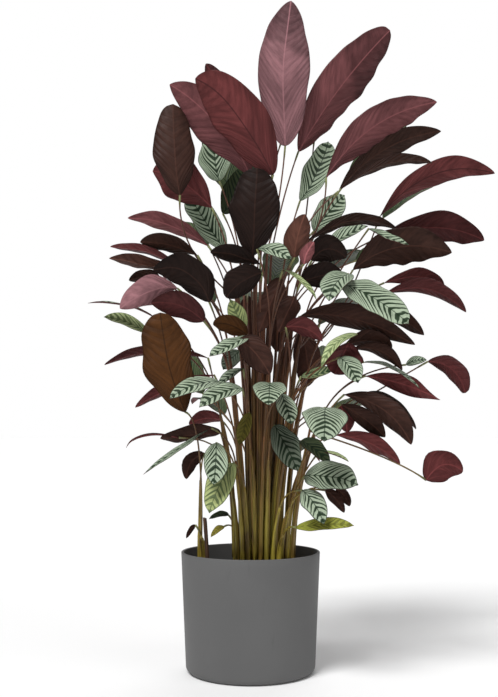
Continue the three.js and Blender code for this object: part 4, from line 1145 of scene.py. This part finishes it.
leaf_green = blend(tree, reckon(tree, "MULTIPLY", band, 0.94), leaf_green, green)
leaf_green = blend(tree, spread_out(tree, from_rib, 0.4, 1.5, 0.8, 0.0), leaf_green, green)
leaf_green = blend(tree, spread_out(tree, from_margin, 0.4, 1.6, 0.8, 0.0), leaf_green, green)
leaf_green = shade_by(tree, leaf_green, spread_out(tree, fine_grain, 0.3, 0.7, 0.95, 1.05))
tree.links.new(leaf_green, shader.inputs["Base Color"])
tree.links.new(spread_out(tree, band, 0.0, 1.0, 0.5, 0.42), shader.inputs["Roughness"])
shader.inputs["Specular IOR Level"].default_value = LEAF_GLOSS
relief = reckon(tree, "ADD", reckon(tree, "MULTIPLY", off_the_line(tree, vein), 0.8),
                reckon(tree, "MULTIPLY", patches, 0.3))
roughen(tree, shader, relief, 0.001, 0.7)

stalk_skin, tree, shader = name_material("stalk_skin")
fibres = mottle(tree, 260.0, detail=3.0, stretch=(1.0, 1.0, 0.06))
blotches = mottle(tree, 55.0, detail=2.0, stretch=(1.0, 1.0, 0.3))
skin = shade_by(tree, grown_colour(tree, "stalk_colour"),
                spread_out(tree, fibres, 0.3, 0.7, 0.72, 1.25))
skin = blend(tree, spread_out(tree, blotches, 0.52, 0.68, 0.0, 0.55), skin,
             paint_value(*STALK_BLOTCH))
tree.links.new(skin, shader.inputs["Base Color"])
shader.inputs["Roughness"].default_value = 0.5
roughen(tree, shader, fibres, 0.0004)


def mean_place(leaves):
    return np.mean([seen_from_front(leaf["base"]) for leaf in leaves], axis=0)


LOWEST_LAYER = 0.01


def foot_in_soil(node):
    """Where the solid stem stands in its hole, in mm: the middle of its lowest points."""
    corners = np.array([vertex.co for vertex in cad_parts[node].data.vertices]) / MM
    lowest = corners[corners[:, 2] < corners[:, 2].min() + LOWEST_LAYER]
    return np.unique(lowest.round(3), axis=0).mean(axis=0)[:2]


def grow_stem(leaves, foot, chance):
    """A stem from its foot in the soil to its fork, and its leaves."""
    grown = GrownMesh()
    mean = mean_place(leaves)
    lowest = min(seen_from_front(leaf["base"])[2] for leaf in leaves)
    soil_top = PLANTER_HEIGHT - SOIL_BELOW_RIM
    foot_point = np.array((foot[0], foot[1], soil_top - STALK_SUNK))
    start = np.array((foot[0], foot[1], soil_height(*foot) + UPRIGHT_LENGTH))
    rise = lowest - start[2]
    fork = start + (mean - start) * FORK_LEAN
    fork[2] = start[2] + rise * FORK_SHARE
    if "fork" in leaves[0]:
        fork = seen_from_front(leaves[0]["fork"])
    pull = start + np.array((0.0, 0.0, rise * UPRIGHT_SHARE))
    steps = max(FEWEST_STALK_STEPS, int((fork[2] - start[2]) / STALK_STEP))
    curve = curve_with_pull(start, pull, fork, np.linspace(0.0, 1.0, steps + 1))
    last_stretch = curve_with_pull(start, pull, fork, [2 / 3, 1.0])
    direction = unit(last_stretch[1] - last_stretch[0])
    path = np.vstack((foot_point, curve))
    share = np.clip((path[:, 2] - start[2]) / (fork[2] - start[2]), 0.0, 1.0)
    sheath_end = chance.uniform(*SHEATH_ENDS)
    sheathed = np.clip((sheath_end - share) / SHEATH_TAPER, 0.0, 1.0)
    radii = STALK_RADIUS + (STALK_TOP_RADIUS - STALK_RADIUS) * share + SHEATH_THICKNESS * sheathed
    radii[0] = STALK_RADIUS
    add_stalk(grown, path, radii, STALK_SIDES, stalk_colours(path, chance), chance.random())
    first_turn = chance.uniform(0.0, 2 * math.pi)
    for number, leaf in enumerate(leaves):
        turn = first_turn + number * TURN_TO_NEXT_STALK
        aside = np.array((math.cos(turn), math.sin(turn), 0.0))
        shares = np.linspace(BUNDLE_START, 1.0, steps + 1)[:-1]
        gap = BUNDLE_GAP * (1.0 - np.clip((shares - BUNDLE_CLOSES) / (1.0 - BUNDLE_CLOSES),
                                          0.0, 1.0))
        beside = curve_with_pull(start, pull, fork, shares) + gap[:, None] * aside
        add_leaf(grown, leaf, fork, direction, beside, chance)
    return grown


for number, leaves in enumerate(LEAFY_STEMS, start=1):
    node = f"leafy_stem_{number:02d}"
    grown = grow_stem(leaves, foot_in_soil(node), random.Random(number))
    points = [tuple(part * MM for part in point) for point in grown.points]
    stem = finish_piece(f"grown_{node}", points, grown.faces,
                        [stalk_skin, upper_skin, under_skin], grown.materials)
    for name, values in grown.values.items():
        stem.data.attributes.new(name, "FLOAT", "POINT").data.foreach_set("value", values)
    for name, colours in grown.colours.items():
        flat = [part for colour in colours for part in (*colour, 1.0)]
        stem.data.attributes.new(name, "FLOAT_COLOR", "POINT").data.foreach_set("color", flat)
    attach(stem, "root")
    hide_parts(node)

# The cut stub: the dry woody rest of a stalk that was cut off above the soil at the clump's left
# edge, with a frayed end. It stands in its own hole in the soil.
STUB_TOP = (-84.0, -46.0, 290.0)
STUB_RADIUS = 3.6
STUB_SIDES = 14
STUB_STEPS = 16
STUB_COLOUR = (88, 60, 40)
STUB_DARK = (40, 26, 18)
STUB_BOW = 1.0
STUB_FRAYS = (-5.0, 3.0)
STUB_SEED = 3

dry_skin, tree, shader = name_material("dry_stalk")
fibres = mottle(tree, 300.0, detail=4.0, stretch=(1.0, 1.0, 0.05))
brown = blend(tree, spread_out(tree, fibres, 0.35, 0.65), paint_value(*STUB_DARK),
              paint_value(*STUB_COLOUR))
tree.links.new(brown, shader.inputs["Base Color"])
shader.inputs["Roughness"].default_value = 0.8
roughen(tree, shader, fibres, 0.0007)

stub_foot = foot_in_soil("cut_stub")
stub_start = np.array((*stub_foot, PLANTER_HEIGHT - SOIL_BELOW_RIM - STALK_SUNK))
stub_path = stub_start + (np.array(STUB_TOP) - stub_start) * np.linspace(
    0.0, 1.0, STUB_STEPS + 1)[:, None]
stub_path[:, 0] += np.sin(np.linspace(0.0, math.pi, STUB_STEPS + 1)) * STUB_BOW
stub_grown = GrownMesh()
add_stalk(stub_grown, stub_path, np.full(len(stub_path), STUB_RADIUS), STUB_SIDES,
          [paint_value(*STUB_COLOUR)] * len(stub_path), 0.5)
frayed = random.Random(STUB_SEED)
for point in range(len(stub_grown.points) - STUB_SIDES, len(stub_grown.points)):
    x, y, z = stub_grown.points[point]
    stub_grown.points[point] = (x, y, z + frayed.uniform(*STUB_FRAYS))
stub = finish_piece("dry_cut_stub", [tuple(part * MM for part in point)
                                     for point in stub_grown.points],
                    stub_grown.faces, [dry_skin])
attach(stub, "root")
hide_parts("cut_stub")
